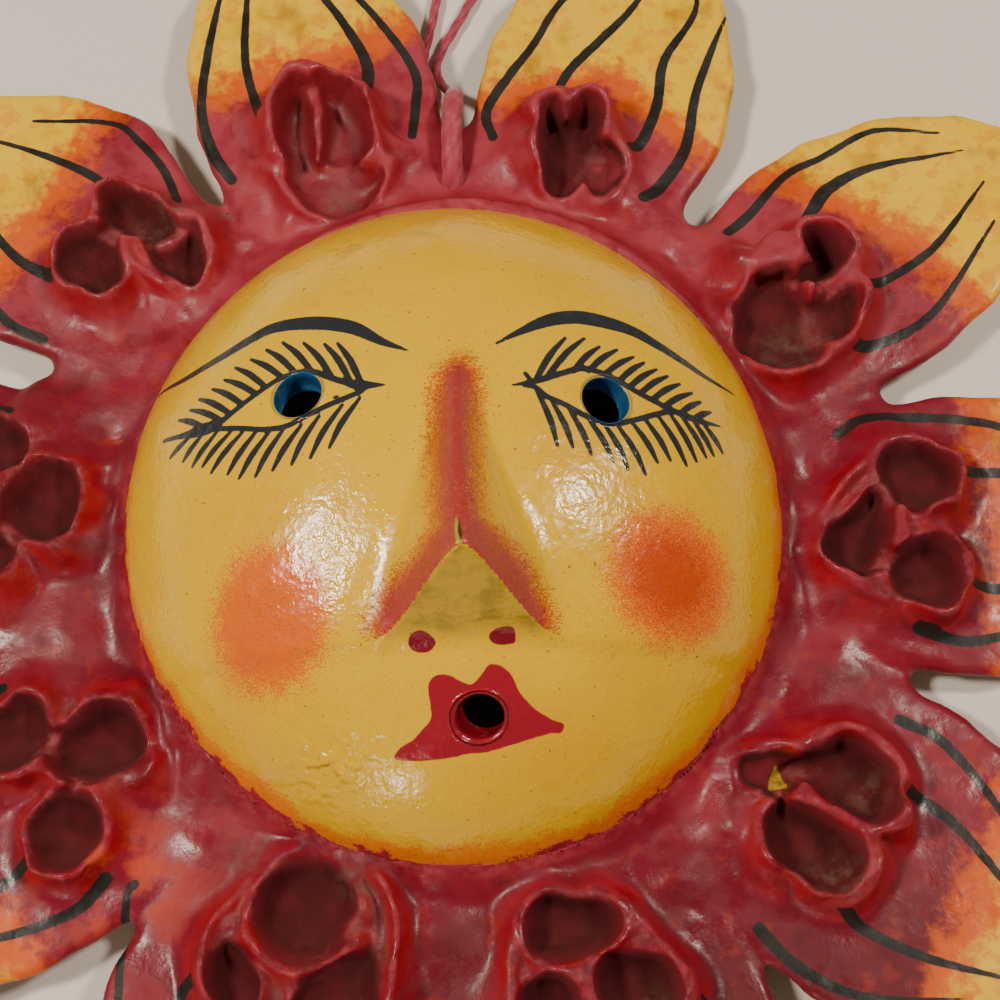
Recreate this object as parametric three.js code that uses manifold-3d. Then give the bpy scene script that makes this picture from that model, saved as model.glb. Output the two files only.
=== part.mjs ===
// Coconut shell sun mask, lying on its back. Millimetres, +Z out of the face, +Y to the forehead.
// Half a coconut shell with drilled eyes and mouth carries a collar of modelled paste: ten broad rays,
// a flower of three pinched cups at the foot of each ray, and a hole for the hanging cord.
import * as THREE from 'three';
import { mergeVertices } from 'three/addons/utils/BufferGeometryUtils.js';
import Module from 'manifold-3d';

const wasm = await Module();
wasm.setup();

// Shell: half an ellipsoid, its cut rim on the table
const SHELL_HALF_WIDTH = 60;
const SHELL_HALF_HEIGHT = 63;
const SHELL_RISE = 46;
const SHELL_WALL = 5;
const SHELL_SIDES = 40;
const SHELL_ROWS = 8;
const HOLE_RADIUS = 4.05;
const HOLE_SIDES = 14;

// Drilled holes: middle on the face, and the axis' lean towards the forehead and to the right, in degrees
const HOLES = [
  { x: -24.9, y: 12.7, up: 7, right: -5 },
  { x: 25.3, y: 12.0, up: -2, right: 13 },
  { x: 4.6, y: -39.7, up: -24, right: -11 },
];

// Nose: a wedge built up on the shell, widest at its foot
const NOSE_X = 1.9;
const NOSE_TOP_Y = 20;
const NOSE_TIP_Y = -18.5;
const NOSE_FOOT_Y = -26.5;
const NOSE_TIP_RISE = 14.5;
const NOSE_TOP_RISE = 0.5;
const NOSE_TOP_HALF_WIDTH = 2.6;
const NOSE_FOOT_HALF_WIDTH = 12.6;
const NOSE_RIDGE_HALF_WIDTH = 1.2;
const NOSE_ROWS = 6;
const NOSE_COLUMNS = 6;
const NOSE_SINK = 2.5;

// Collar ring, in a section from the shell outwards
const FIT_GAP = 0.35;
const COLLAR_TOP_Z = 14.5;
const COLLAR_FILLET = 7;
const COLLAR_PLAIN_Z = 9.4;
const COLLAR_FLAT_END = 71;
const COLLAR_OUTER = 80;
const COLLAR_OUTER_Z = 7.6;
const REST_RADIUS = 62.6;
const UNDERCUT_RADIUS = 64.6;
const UNDERCUT_Z = 3.9;
const COLLAR_SIDES = 50;
const WAVE_HEIGHT = 0.7;

// Rays: middle angle clockwise from the forehead, tip radius, half width, rise of the tip, twist,
// and the radius at which the gap before the next ray ends
const RAYS = [
  { angle: -17.6, tip: 131.5, half: 23.6, lift: 2.0, twist: 1.2, gap: 82.6 },
  { angle: 17.8, tip: 134.0, half: 24.2, lift: 1.0, twist: -2.2, gap: 76.0 },
  { angle: 54.0, tip: 133.0, half: 24.6, lift: 2.2, twist: 1.0, gap: 83.0 },
  { angle: 90.0, tip: 134.0, half: 26.0, lift: 1.4, twist: -1.0, gap: 85.0 },
  { angle: 127.5, tip: 132.5, half: 27.4, lift: 2.4, twist: 1.4, gap: 87.0 },
  { angle: 163.0, tip: 134.0, half: 27.0, lift: 1.2, twist: -1.2, gap: 87.0 },
  { angle: 199.5, tip: 132.0, half: 27.4, lift: 2.0, twist: 1.0, gap: 87.0 },
  { angle: 236.5, tip: 134.0, half: 27.0, lift: 1.6, twist: -1.4, gap: 85.0 },
  { angle: 272.0, tip: 133.5, half: 26.0, lift: 2.2, twist: 1.2, gap: 82.0 },
  { angle: 307.5, tip: 132.5, half: 24.4, lift: 1.2, twist: -1.0, gap: 75.6 },
];
const RAY_ROOT = 69;
const RAY_WIDEST = 90;
const RAY_ROOT_THICK = 4.6;
const RAY_TIP_THICK = 2.6;
const RAY_ROWS = 7;
const RAY_COLUMNS = 4;
const RAY_DISH = 1.2;

// Flowers: three cups at the foot of each ray, one towards the face and two side by side beyond it
const FLOWERS = [
  { angle: -19.2, radius: 70.5, bowl: 7.6, cups: 5.4, spread: 5.6, rise: 1.0 },
  { angle: 20.1, radius: 72.0, bowl: 6.4, cups: 5.0, spread: 5.2, rise: 0.6 },
  { angle: 56.6, radius: 73.5, bowl: 8.4, cups: 5.0, spread: 6.6, rise: 1.0 },
  { angle: 89.5, radius: 73.0, bowl: 8.0, cups: 5.4, spread: 6.2, rise: 0.8 },
  { angle: 129.0, radius: 71.5, bowl: 5.6, cups: 7.0, spread: 7.8, rise: 0.8 },
  { angle: 163.8, radius: 72.5, bowl: 7.0, cups: 5.8, spread: 6.8, rise: 0.6 },
  { angle: 200.6, radius: 71.5, bowl: 8.8, cups: 5.8, spread: 7.0, rise: 1.2 },
  { angle: 238.5, radius: 72.5, bowl: 7.6, cups: 5.4, spread: 6.4, rise: 0.8 },
  { angle: 275.0, radius: 72.5, bowl: 7.4, cups: 5.4, spread: 6.2, rise: 0.6 },
  { angle: 314.2, radius: 72.0, bowl: 6.6, cups: 5.2, spread: 6.0, rise: 1.0 },
];
const CUP_WALL = 2.1;
const CUP_FLARE = 2.6;
const CUP_FOOT_Z = 6.0;
const CUP_FLOOR_Z = 7.0;
const CUP_RIM_Z = 16.4;
const OUTER_CUP_STEP = 12.5;
const OUTER_CUP_LENGTH = 1.35;
const CUP_SIDES = 8;
const RIM_WAVE = 1.3;

// Cord: a closed loop through the hole, knotted behind it, lying on the table beyond the collar
const CORD_DIAMETER = 2.2;
const CORD_SIDES = 8;
const CORD_STEPS = 46;
const CORD_HOLE_X = -0.8;
const CORD_HOLE_Y = 67.2;
const CORD_HOLE_RADIUS = 2.4;
const KNOT_RADIUS = 2.7;
const KNOT_HALF_HEIGHT = 1.55;
const KNOT_Z = 1.75;
const CORD_ROUTE = [
  [-3.9, 68.4, 1.5], [-6.2, 70.4, 1.4], [-8.6, 74.4, 1.3], [-9.4, 80, 1.25], [-9.0, 87, 1.2],
  [-8.0, 94, 1.2], [-6.8, 101, 1.2], [-5.6, 107, 1.2], [-4.7, 112.4, 1.2], [-4.1, 117, 1.2],
  [-3.2, 121.4, 1.2], [-0.4, 124.6, 1.2], [3.6, 124.4, 1.2], [5.9, 121.2, 1.2], [4.9, 117.4, 1.2],
  [2.6, 113.4, 1.2], [0.2, 108.6, 1.2], [-2.4, 103.6, 1.2], [-4.2, 99.2, 1.2], [-4.2, 95.4, 1.4],
  [-2.4, 92.0, 2.6], [-0.8, 89.4, 5.4], [-0.6, 87.0, 9.0], [-0.8, 84.2, 11.6], [-1.0, 80.4, 12.6],
  [-1.0, 76.0, 12.6], [-0.9, 72, 12.0], [-0.8, 68.8, 10.2], [-0.8, 67.4, 7.2], [-0.8, 67.2, 3.9],
];

const DEG = Math.PI / 180;
const COLOURS = { face: 0xdfb030, collar: 0xa8232f, cord: 0xb8495e };

function smooth(from, to, value) {
  const t = Math.min(1, Math.max(0, (value - from) / (to - from)));
  return t * t * (3 - 2 * t);
}

// A closed solid out of a geometry whose shared corners are merged and whose faces point out
function solid(geometry) {
  const bare = new THREE.BufferGeometry();
  bare.setAttribute('position', geometry.getAttribute('position'));
  const source = geometry.index ? geometry.index.array : null;
  if (source) bare.setIndex(Array.from(source));
  const merged = mergeVertices(bare, 1e-3);
  const spots = merged.getAttribute('position').array;
  const faces = [];
  const from = merged.index.array;
  for (let i = 0; i < from.length; i += 3) {
    const [a, b, c] = [from[i], from[i + 1], from[i + 2]];
    if (a !== b && b !== c && a !== c) faces.push(a, b, c);
  }
  if (volume(spots, faces) < 0) faces.reverse();
  return new wasm.Manifold(new wasm.Mesh({
    numProp: 3,
    vertProperties: new Float32Array(spots),
    triVerts: new Uint32Array(faces),
  }));
}

function volume(spots, faces) {
  const corner = [new THREE.Vector3(), new THREE.Vector3(), new THREE.Vector3()];
  let sum = 0;
  for (let i = 0; i < faces.length; i += 3) {
    corner.forEach((c, k) => c.fromArray(spots, 3 * faces[i + k]));
    sum += corner[0].dot(corner[1].clone().cross(corner[2])) / 6;
  }
  return sum;
}

function meshOf(body, name, colour, roughness) {
  const made = body.getMesh();
  const geometry = new THREE.BufferGeometry();
  const spots = new Float32Array(made.numVert * 3);
  for (let i = 0; i < made.numVert; i += 1) {
    for (let k = 0; k < 3; k += 1) spots[3 * i + k] = made.vertProperties[made.numProp * i + k];
  }
  geometry.setAttribute('position', new THREE.BufferAttribute(spots, 3));
  geometry.setIndex(Array.from(made.triVerts));
  geometry.computeVertexNormals();
  const material = new THREE.MeshStandardMaterial({ color: colour, roughness, metalness: 0 });
  const mesh = new THREE.Mesh(geometry, material);
  mesh.name = name;
  return mesh;
}

// A turned form: [radius, z] pairs round the Z axis, then each vertex moved by bend(x, y, z)
function turned(profile, sides, bend = (x, y, z) => [x, y, z]) {
  const geometry = new THREE.LatheGeometry(profile.map(([r, z]) => new THREE.Vector2(r, z)), sides);
  geometry.rotateX(Math.PI / 2);
  const spots = geometry.getAttribute('position');
  for (let i = 0; i < spots.count; i += 1) {
    spots.setXYZ(i, ...bend(spots.getX(i), spots.getY(i), spots.getZ(i)));
  }
  return solid(geometry);
}

// A closed slab between two grids of points, with its four sides
function slab(rows, columns, front, back) {
  const spots = [];
  const faces = [];
  const at = (side, i, j) => side * (rows + 1) * (columns + 1) + i * (columns + 1) + j;
  for (const face of [front, back]) {
    for (let i = 0; i <= rows; i += 1) {
      for (let j = 0; j <= columns; j += 1) spots.push(...face(i / rows, j / columns));
    }
  }
  const quad = (a, b, c, d) => faces.push(a, b, c, a, c, d);
  for (let i = 0; i < rows; i += 1) {
    for (let j = 0; j < columns; j += 1) {
      quad(at(0, i, j), at(0, i, j + 1), at(0, i + 1, j + 1), at(0, i + 1, j));
      quad(at(1, i, j), at(1, i + 1, j), at(1, i + 1, j + 1), at(1, i, j + 1));
    }
    quad(at(0, i, 0), at(0, i + 1, 0), at(1, i + 1, 0), at(1, i, 0));
    quad(at(0, i, columns), at(1, i, columns), at(1, i + 1, columns), at(0, i + 1, columns));
  }
  for (let j = 0; j < columns; j += 1) {
    quad(at(0, 0, j), at(1, 0, j), at(1, 0, j + 1), at(0, 0, j + 1));
    quad(at(0, rows, j), at(0, rows, j + 1), at(1, rows, j + 1), at(1, rows, j));
  }
  const geometry = new THREE.BufferGeometry();
  geometry.setAttribute('position', new THREE.Float32BufferAttribute(spots, 3));
  geometry.setIndex(faces);
  return solid(geometry);
}

// Half ellipsoid as a row of [radius, z] points from the rim to the top, shrunk by a wall
function domeProfile(wall, rows) {
  const points = [];
  for (let i = 0; i <= rows; i += 1) {
    const lift = (i / rows) * (Math.PI / 2);
    points.push([(SHELL_HALF_WIDTH - wall) * Math.cos(lift), (SHELL_RISE - wall) * Math.sin(lift)]);
  }
  points[rows][0] = 0;
  return points;
}

function domeZ(x, y) {
  const k = (x / SHELL_HALF_WIDTH) ** 2 + (y / SHELL_HALF_HEIGHT) ** 2;
  return SHELL_RISE * Math.sqrt(Math.max(0, 1 - k));
}

function oval(wall) {
  const stretch = (SHELL_HALF_HEIGHT - wall) / (SHELL_HALF_WIDTH - wall);
  return (x, y, z) => [x, y * stretch, z];
}

// A straight drilled hole through the shell, its axis crossing the outer surface at its middle
function drilled(hole) {
  const rod = new THREE.CylinderGeometry(HOLE_RADIUS, HOLE_RADIUS, 30, HOLE_SIDES);
  rod.rotateX(Math.PI / 2);
  rod.rotateX(-hole.up * DEG);
  rod.rotateY(hole.right * DEG);
  rod.translate(hole.x, hole.y, domeZ(hole.x, hole.y));
  return solid(rod);
}

// Height of the ridge over the shell and half width of the foot, from the bridge (0) to the tip (1)
function noseSection(t) {
  const y = NOSE_TOP_Y + (NOSE_TIP_Y - NOSE_TOP_Y) * t;
  const rise = NOSE_TOP_RISE + (NOSE_TIP_RISE - NOSE_TOP_RISE) * t ** 1.2;
  const foot = NOSE_TOP_HALF_WIDTH + (NOSE_FOOT_HALF_WIDTH - NOSE_TOP_HALF_WIDTH) * t ** 1.4;
  return { y, rise, foot };
}

// The two flanks meet in the ridge, and below the tip a flat three-cornered underside faces the chin
function nose() {
  const front = (i, j) => {
    const { y, rise, foot } = noseSection(i);
    const side = 2 * j - 1;
    const x = NOSE_X + foot * side;
    const back = y + (NOSE_FOOT_Y - NOSE_TIP_Y) * i ** 4 * Math.abs(side);
    const beyond = Math.max(0, Math.abs(side) * foot - NOSE_RIDGE_HALF_WIDTH) / (foot - NOSE_RIDGE_HALF_WIDTH);
    return [x, back, domeZ(x, back) + rise * (1 - beyond) ** 1.2 - 0.3 * beyond];
  };
  const under = (i, j) => {
    const [x, y] = front(i, j);
    const foot = i === 1 ? NOSE_FOOT_Y - 1 : y;
    return [x, foot, domeZ(x, foot) - NOSE_SINK];
  };
  return slab(NOSE_ROWS, NOSE_COLUMNS, front, under);
}

function shell() {
  const outside = turned([[0, 0], ...domeProfile(0, SHELL_ROWS)], SHELL_SIDES, oval(0));
  const inner = domeProfile(SHELL_WALL, SHELL_ROWS - 2);
  const inside = turned([[0, -2], [inner[0][0], -2], ...inner], SHELL_SIDES, oval(SHELL_WALL));
  const whole = outside.add(nose()).subtract(inside);
  return HOLES.reduce((body, hole) => body.subtract(drilled(hole)), whole);
}

// Slow swells of the modelled paste
function swell(x, y) {
  return WAVE_HEIGHT * (Math.sin(x / 6.1 + y / 9.3) * Math.cos(y / 6.7 - x / 11.2));
}

// Outer radius of the ring at an angle: between two rays it is where their gap ends
function collarReach(round) {
  const gaps = RAYS.map((spec, k) => {
    const next = RAYS[(k + 1) % RAYS.length].angle + (k === RAYS.length - 1 ? 360 : 0);
    return { at: (spec.angle + next) / 2, radius: spec.gap };
  });
  const angle = (round / DEG - gaps[0].at + 720) % 360 + gaps[0].at;
  gaps.push({ at: gaps[0].at + 360, radius: gaps[0].radius });
  const k = gaps.findIndex((gap, i) => angle <= gaps[i + 1].at);
  const share = smooth(gaps[k].at, gaps[k + 1].at, angle);
  return gaps[k].radius + (gaps[k + 1].radius - gaps[k].radius) * share;
}

function ring() {
  const touch = SHELL_HALF_WIDTH * Math.sqrt(1 - (COLLAR_TOP_Z / SHELL_RISE) ** 2);
  const profile = [[touch - 2, 0], [touch - 2, COLLAR_TOP_Z]];
  for (const t of [0, 0.4, 1]) {
    const drop = 1 - (1 - t) ** 2;
    profile.push([touch + 1 + COLLAR_FILLET * t, COLLAR_TOP_Z - (COLLAR_TOP_Z - COLLAR_PLAIN_Z) * drop]);
  }
  profile.push([COLLAR_FLAT_END, COLLAR_PLAIN_Z], [COLLAR_OUTER, COLLAR_OUTER_Z], [COLLAR_OUTER, UNDERCUT_Z]);
  profile.push([UNDERCUT_RADIUS, UNDERCUT_Z], [REST_RADIUS, 0], [touch - 2, 0]);
  return turned(profile, COLLAR_SIDES, (x, y, z) => {
    const r = Math.hypot(x, y);
    const stretch = 1 + (SHELL_HALF_HEIGHT / SHELL_HALF_WIDTH - 1) * (1 - smooth(60, 77, r)) * (y / r) ** 2;
    const grow = 1 + FIT_GAP / r;
    const reach = (collarReach(Math.atan2(x, y)) - COLLAR_FLAT_END) / (COLLAR_OUTER - COLLAR_FLAT_END);
    const far = r > COLLAR_FLAT_END ? (COLLAR_FLAT_END + (r - COLLAR_FLAT_END) * reach) / r : 1;
    const scale = stretch * grow * far;
    const wave = z > 5 && r > 60 ? swell(x, y) : 0;
    return [x * scale, y * scale, z + wave];
  });
}

// A point of a ray from its distance along the middle line and its offset across it
function place(angle, along, across, z) {
  const [s, c] = [Math.sin(angle * DEG), Math.cos(angle * DEG)];
  return [along * s + across * c, along * c - across * s, z];
}

function rayHalfWidth(ray, along) {
  if (along < RAY_WIDEST) return ray.half * (0.86 + 0.14 * smooth(RAY_ROOT, RAY_WIDEST, along));
  const t = (along - RAY_WIDEST) / (ray.tip - RAY_WIDEST);
  return ray.half * Math.max(0, 1 - t ** 2.2) ** 0.72;
}

function rayBack(ray, along, across) {
  const t = (along - RAY_ROOT) / (ray.tip - RAY_ROOT);
  const share = across / ray.half;
  const wave = 0.5 * Math.sin(along / 7 + ray.angle) * share;
  return UNDERCUT_Z + 0.4 + ray.lift * t * t + RAY_DISH * t * share ** 2 + ray.twist * t * share + wave * t;
}

function ray(spec) {
  const spot = (i, j) => {
    const t = (1 - (1 - i) ** 1.35) * 0.985;
    const along = RAY_ROOT + (spec.tip - RAY_ROOT) * t;
    return [along, rayHalfWidth(spec, along) * (2 * j - 1), t];
  };
  const thick = (t) => RAY_ROOT_THICK + (RAY_TIP_THICK - RAY_ROOT_THICK) * smooth(0, 0.8, t);
  const back = (i, j) => {
    const [along, across] = spot(i, j);
    return place(spec.angle, along, across, rayBack(spec, along, across));
  };
  const front = (i, j) => {
    const [along, across, t] = spot(i, j);
    const edge = 1 - 0.25 * Math.abs(2 * j - 1) ** 4;
    return place(spec.angle, along, across, rayBack(spec, along, across) + thick(t) * edge);
  };
  return slab(RAY_ROWS, RAY_COLUMNS, front, back);
}

// The three cups of a flower: where each stands, its hollow's radii and how it leans
function cupsOf(flower) {
  const outer = flower.radius + OUTER_CUP_STEP;
  const long = flower.cups * OUTER_CUP_LENGTH;
  return [
    { flower, along: flower.radius, across: 0, wide: flower.bowl, long: flower.bowl * 0.9, lean: -0.12, turn: 0 },
    { flower, along: outer, across: -flower.spread, wide: flower.cups, long, lean: 0.14, turn: 1.7 },
    { flower, along: outer - 0.8, across: flower.spread, wide: flower.cups, long, lean: 0.14, turn: 3.9 },
  ];
}

// Puts a turned cup at its place: an oval, its rim waved and leaning out from the flower's middle
function cupBend(cup) {
  return (x, y, z) => {
    const height = smooth(CUP_FLOOR_Z, CUP_RIM_Z, z);
    const round = Math.atan2(y, x);
    const wave = RIM_WAVE * Math.cos(2 * round + cup.turn) * height;
    const wide = 1 + 0.08 * Math.cos(3 * round + cup.turn);
    const along = cup.along + y * wide + cup.lean * (z - CUP_FOOT_Z);
    const across = cup.across + x * wide + 0.1 * Math.sign(cup.across) * (z - CUP_FOOT_Z);
    return place(cup.flower.angle, along, across, z + wave + cup.flower.rise * height);
  };
}

function cupBody(cup) {
  const bend = cupBend(cup);
  const [r, w] = [cup.wide, CUP_WALL];
  const profile = [
    [0, CUP_FOOT_Z], [r + w + CUP_FLARE, CUP_FOOT_Z], [r + w + 0.7, CUP_FOOT_Z + 4.5],
    [r + w * 0.6, CUP_RIM_Z], [0, CUP_RIM_Z - 0.4],
  ];
  return turned(profile, CUP_SIDES, (x, y, z) => bend(x, y * (cup.long / cup.wide), z));
}

function cupHollow(cup) {
  const bend = cupBend(cup);
  const r = cup.wide;
  const top = CUP_RIM_Z + 4;
  const profile = [[0, CUP_FLOOR_Z], [r * 0.84, CUP_FLOOR_Z + 2], [r * 1.02, top], [0, top]];
  return turned(profile, CUP_SIDES, (x, y, z) => bend(x, y * (cup.long / cup.wide), z));
}

// The collar stays outside this form of the shell, grown by the fitting gap
function shellClearance() {
  const grown = domeProfile(-FIT_GAP, SHELL_ROWS);
  return turned([[0, -1], [grown[0][0], -1], ...grown], SHELL_SIDES, oval(-FIT_GAP));
}

function cordHole() {
  const rod = new THREE.CylinderGeometry(CORD_HOLE_RADIUS, CORD_HOLE_RADIUS, 40, 12);
  rod.rotateX(Math.PI / 2);
  rod.translate(CORD_HOLE_X, CORD_HOLE_Y, 10);
  return solid(rod);
}

// A slot under the ring that gives the knot room behind the hole
function knotRecess() {
  const slot = new THREE.CylinderGeometry(KNOT_RADIUS + 1.2, KNOT_RADIUS + 1.2, 2 * UNDERCUT_Z, 12);
  slot.rotateX(Math.PI / 2);
  slot.translate(CORD_HOLE_X, CORD_HOLE_Y, 0);
  return solid(slot);
}

function collar() {
  const cups = FLOWERS.flatMap(cupsOf);
  let body = ring();
  for (const spec of RAYS) body = body.add(ray(spec));
  for (const cup of cups) body = body.add(cupBody(cup));
  for (const cup of cups) body = body.subtract(cupHollow(cup));
  return body.subtract(shellClearance()).subtract(cordHole()).subtract(knotRecess());
}

function cord() {
  const curve = new THREE.CatmullRomCurve3(CORD_ROUTE.map((p) => new THREE.Vector3(...p)), false, 'centripetal');
  const section = new THREE.Shape();
  for (let i = 0; i < CORD_SIDES; i += 1) {
    const a = (i / CORD_SIDES) * 2 * Math.PI;
    const spot = [(CORD_DIAMETER / 2) * Math.cos(a), (CORD_DIAMETER / 2) * Math.sin(a)];
    if (i === 0) section.moveTo(...spot);
    else section.lineTo(...spot);
  }
  section.closePath();
  const tube = new THREE.ExtrudeGeometry(section, { steps: CORD_STEPS, bevelEnabled: false, extrudePath: curve });
  return solid(tube);
}

// The tied ends behind the hole, a flattened ball
function knot() {
  const ball = new THREE.SphereGeometry(KNOT_RADIUS, 10, 6);
  ball.rotateX(Math.PI / 2);
  ball.scale(1, 1, KNOT_HALF_HEIGHT / KNOT_RADIUS);
  ball.translate(CORD_HOLE_X, CORD_HOLE_Y, KNOT_Z);
  return solid(ball);
}

const mask = new THREE.Group();
mask.add(meshOf(shell(), 'coconut_face', COLOURS.face, 0.25));
mask.add(meshOf(collar(), 'ray_collar', COLOURS.collar, 0.3));
mask.add(meshOf(cord(), 'hanging_cord', COLOURS.cord, 0.8));
mask.add(meshOf(knot(), 'cord_knot', COLOURS.cord, 0.8));

// The origin is under the middle of the shell and collar together
const extent = new THREE.Box3();
for (const name of ['coconut_face', 'ray_collar']) extent.expandByObject(mask.getObjectByName(name));
const middle = extent.getCenter(new THREE.Vector3());
mask.position.set(-middle.x, -middle.y, -extent.min.z);

export default mask;
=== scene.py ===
"""A coconut shell sun mask dressed from its frame: the painted half shell, its modelled collar and its cord.

Lengths below are in millimetres about the middle of the shell, with +X to the right, +Y to the forehead and
+Z out of the face. They turn to metres as each mesh is made, and the shell's middle is read from the frame.
"""

from __future__ import annotations

import logging
import math
from dataclasses import dataclass, field
from enum import Enum
from typing import ClassVar

import bpy
import numpy as np
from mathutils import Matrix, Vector
from mathutils.geometry import delaunay_2d_cdt

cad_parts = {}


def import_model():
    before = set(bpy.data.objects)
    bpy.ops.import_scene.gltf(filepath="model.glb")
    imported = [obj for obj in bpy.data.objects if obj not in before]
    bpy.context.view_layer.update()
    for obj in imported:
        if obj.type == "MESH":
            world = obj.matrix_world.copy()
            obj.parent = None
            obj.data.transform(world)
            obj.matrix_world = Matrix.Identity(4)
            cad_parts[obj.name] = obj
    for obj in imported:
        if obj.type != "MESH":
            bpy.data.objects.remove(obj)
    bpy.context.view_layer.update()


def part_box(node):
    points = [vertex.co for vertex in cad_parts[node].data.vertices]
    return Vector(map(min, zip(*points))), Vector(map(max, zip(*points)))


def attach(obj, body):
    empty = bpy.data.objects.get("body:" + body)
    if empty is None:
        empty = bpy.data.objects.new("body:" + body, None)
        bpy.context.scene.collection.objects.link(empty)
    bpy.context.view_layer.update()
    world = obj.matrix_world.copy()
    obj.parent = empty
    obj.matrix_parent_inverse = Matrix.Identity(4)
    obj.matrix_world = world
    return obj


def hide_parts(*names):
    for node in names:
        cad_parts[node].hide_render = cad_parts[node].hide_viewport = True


LOG = logging.getLogger("sun_mask")
MM = 0.001
TURN = 2.0 * math.pi
SHELL = (60.0, 63.0, 46.0)  # half the width and length of the half shell, and its height
WAVES = 10  # sine waves in a ripple
NO_PAINT = 9.0  # the distance noted where no painted edge is near, in millimetres
FAR = 99.0  # further than anything in the model, in millimetres
CORNERS = tuple((dx, dy, dz) for dx in (0, 1) for dy in (0, 1) for dz in (0, 1))
Loop = tuple[tuple[float, float], ...]
Stroke = tuple[tuple[float, float, float], ...]
Window = tuple[slice, slice]
Socket = bpy.types.NodeSocket


# ---------------------------------------------------------------- numbers and fields


def smooth(low: float, high: float, value: np.ndarray) -> np.ndarray:
    """Rises from 0 at low to 1 at high as three t squared less two t cubed."""
    t = np.clip((value - low) / (high - low), 0.0, 1.0)
    return t * t * (3.0 - 2.0 * t)


def soft_min(a: np.ndarray, b: np.ndarray, reach: float) -> np.ndarray:
    """The lesser of two fields, less up to a quarter of reach where they come within reach of each other."""
    share = np.clip(0.5 + 0.5 * (b - a) / reach, 0.0, 1.0)
    return b + (a - b) * share - reach * share * (1.0 - share)


def soft_max(a: np.ndarray, b: np.ndarray, reach: float) -> np.ndarray:
    """The greater of two fields, rounded in the same way."""
    return -soft_min(-a, -b, reach)


def unit(vectors: np.ndarray, least: float = 1e-6) -> np.ndarray:
    """Each row divided by its length, or by least where it is shorter."""
    return vectors / np.clip(np.linalg.norm(vectors, axis=1, keepdims=True), least, None)


def ripple(points: np.ndarray, size: float, seed: int) -> np.ndarray:
    """A smooth uneven field of about -1 to 1: the sum of sine waves in seeded directions.

    Args:
        points: Places in two or three dimensions, in an array of any shape.
        size: The usual wavelength.
        seed: The seed of the directions and phases.

    Returns:
        One value for each place.
    """
    rng = np.random.default_rng(seed)
    way = rng.normal(size=(WAVES, 3))
    way /= np.linalg.norm(way, axis=1, keepdims=True)
    way = way[:, : points.shape[-1]] * (TURN / (size * rng.uniform(0.75, 1.7, (WAVES, 1))))
    phase = rng.uniform(0.0, TURN, WAVES)
    flat = points.reshape(-1, points.shape[-1])
    return (np.sin(flat @ way.T + phase).sum(axis=1) / math.sqrt(WAVES)).reshape(points.shape[:-1])


def curve_through(control: Loop | Stroke | np.ndarray, per: int, closed: bool = False) -> np.ndarray:
    """A curve through control points: the cubic of each span with slopes from its neighbours (Catmull-Rom).

    Args:
        control: Control points, n by any number of columns.
        per: Steps in each span.
        closed: Whether the last point joins the first.

    Returns:
        The points along the curve.
    """
    p = np.asarray(control, float)
    if closed:
        p = np.vstack([p[-1:], p, p[:2]])
    else:
        p = np.vstack([2 * p[:1] - p[1:2], p, 2 * p[-1:] - p[-2:-1]])
    t = (np.arange(per) / per)[None, :, None]
    a, b, c, d = (p[i : len(p) - 3 + i, None, :] for i in range(4))
    spans = 0.5 * (2 * b + (c - a) * t + (2 * a - 5 * b + 4 * c - d) * t**2 + (3 * b - a - 3 * c + d) * t**3)
    flat = spans.reshape(-1, p.shape[1])
    return flat if closed else np.vstack([flat, p[-2]])


def from_span(xy: np.ndarray, start: np.ndarray, end: np.ndarray) -> tuple[np.ndarray, np.ndarray]:
    """For each place, how far along a span its nearest point is, from 0 to 1, and the way from there to it."""
    t = np.clip((xy - start) @ (end - start) / max((end - start) @ (end - start), 1e-9), 0.0, 1.0)
    return t, xy - start - t[:, None] * (end - start)


def stroke_gap(xy: np.ndarray, stroke: np.ndarray) -> np.ndarray:
    """How far each place is outside a tapered brush stroke; negative inside it.

    The distance to each span of the line, less the half width there, and the least of them all.

    Args:
        xy: Places, n by 2.
        stroke: The line's points with its half width, m by 3.

    Returns:
        One distance for each place, or FAR where it is well away.
    """
    margin = 6.0
    best = np.full(len(xy), FAR)
    low = stroke[:, :2].min(axis=0) - margin
    high = stroke[:, :2].max(axis=0) + margin
    near = np.flatnonzero(((xy > low) & (xy < high)).all(axis=1))
    gap = best[near]
    for start, end in zip(stroke[:-1], stroke[1:]):
        t, away = from_span(xy[near], start[:2], end[:2])
        gap = np.minimum(gap, np.linalg.norm(away, axis=1) - (start[2] + t * (end[2] - start[2])))
    best[near] = gap
    return best


def loop_gap(xy: np.ndarray, loop: np.ndarray) -> np.ndarray:
    """How far each place is outside a closed outline; negative inside it.

    The least distance to a side, with its sign from how many sides a line towards +X crosses.

    Args:
        xy: Places, in an array of any shape.
        loop: The outline's corners, m by 2.

    Returns:
        One distance for each place.
    """
    flat = xy.reshape(-1, 2)
    x, y = flat.T
    gap = np.full(len(flat), np.inf)
    inside = np.zeros(len(flat), bool)
    for start, end in zip(loop, np.roll(loop, -1, axis=0)):
        gap = np.minimum(gap, (from_span(flat, start, end)[1] ** 2).sum(axis=1))
        if start[1] != end[1]:
            run, rise = end - start
            inside ^= ((start[1] > y) != (end[1] > y)) & (x < start[0] + (y - start[1]) * run / rise)
    return (np.where(inside, -1.0, 1.0) * np.sqrt(gap)).reshape(xy.shape[:-1])


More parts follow.
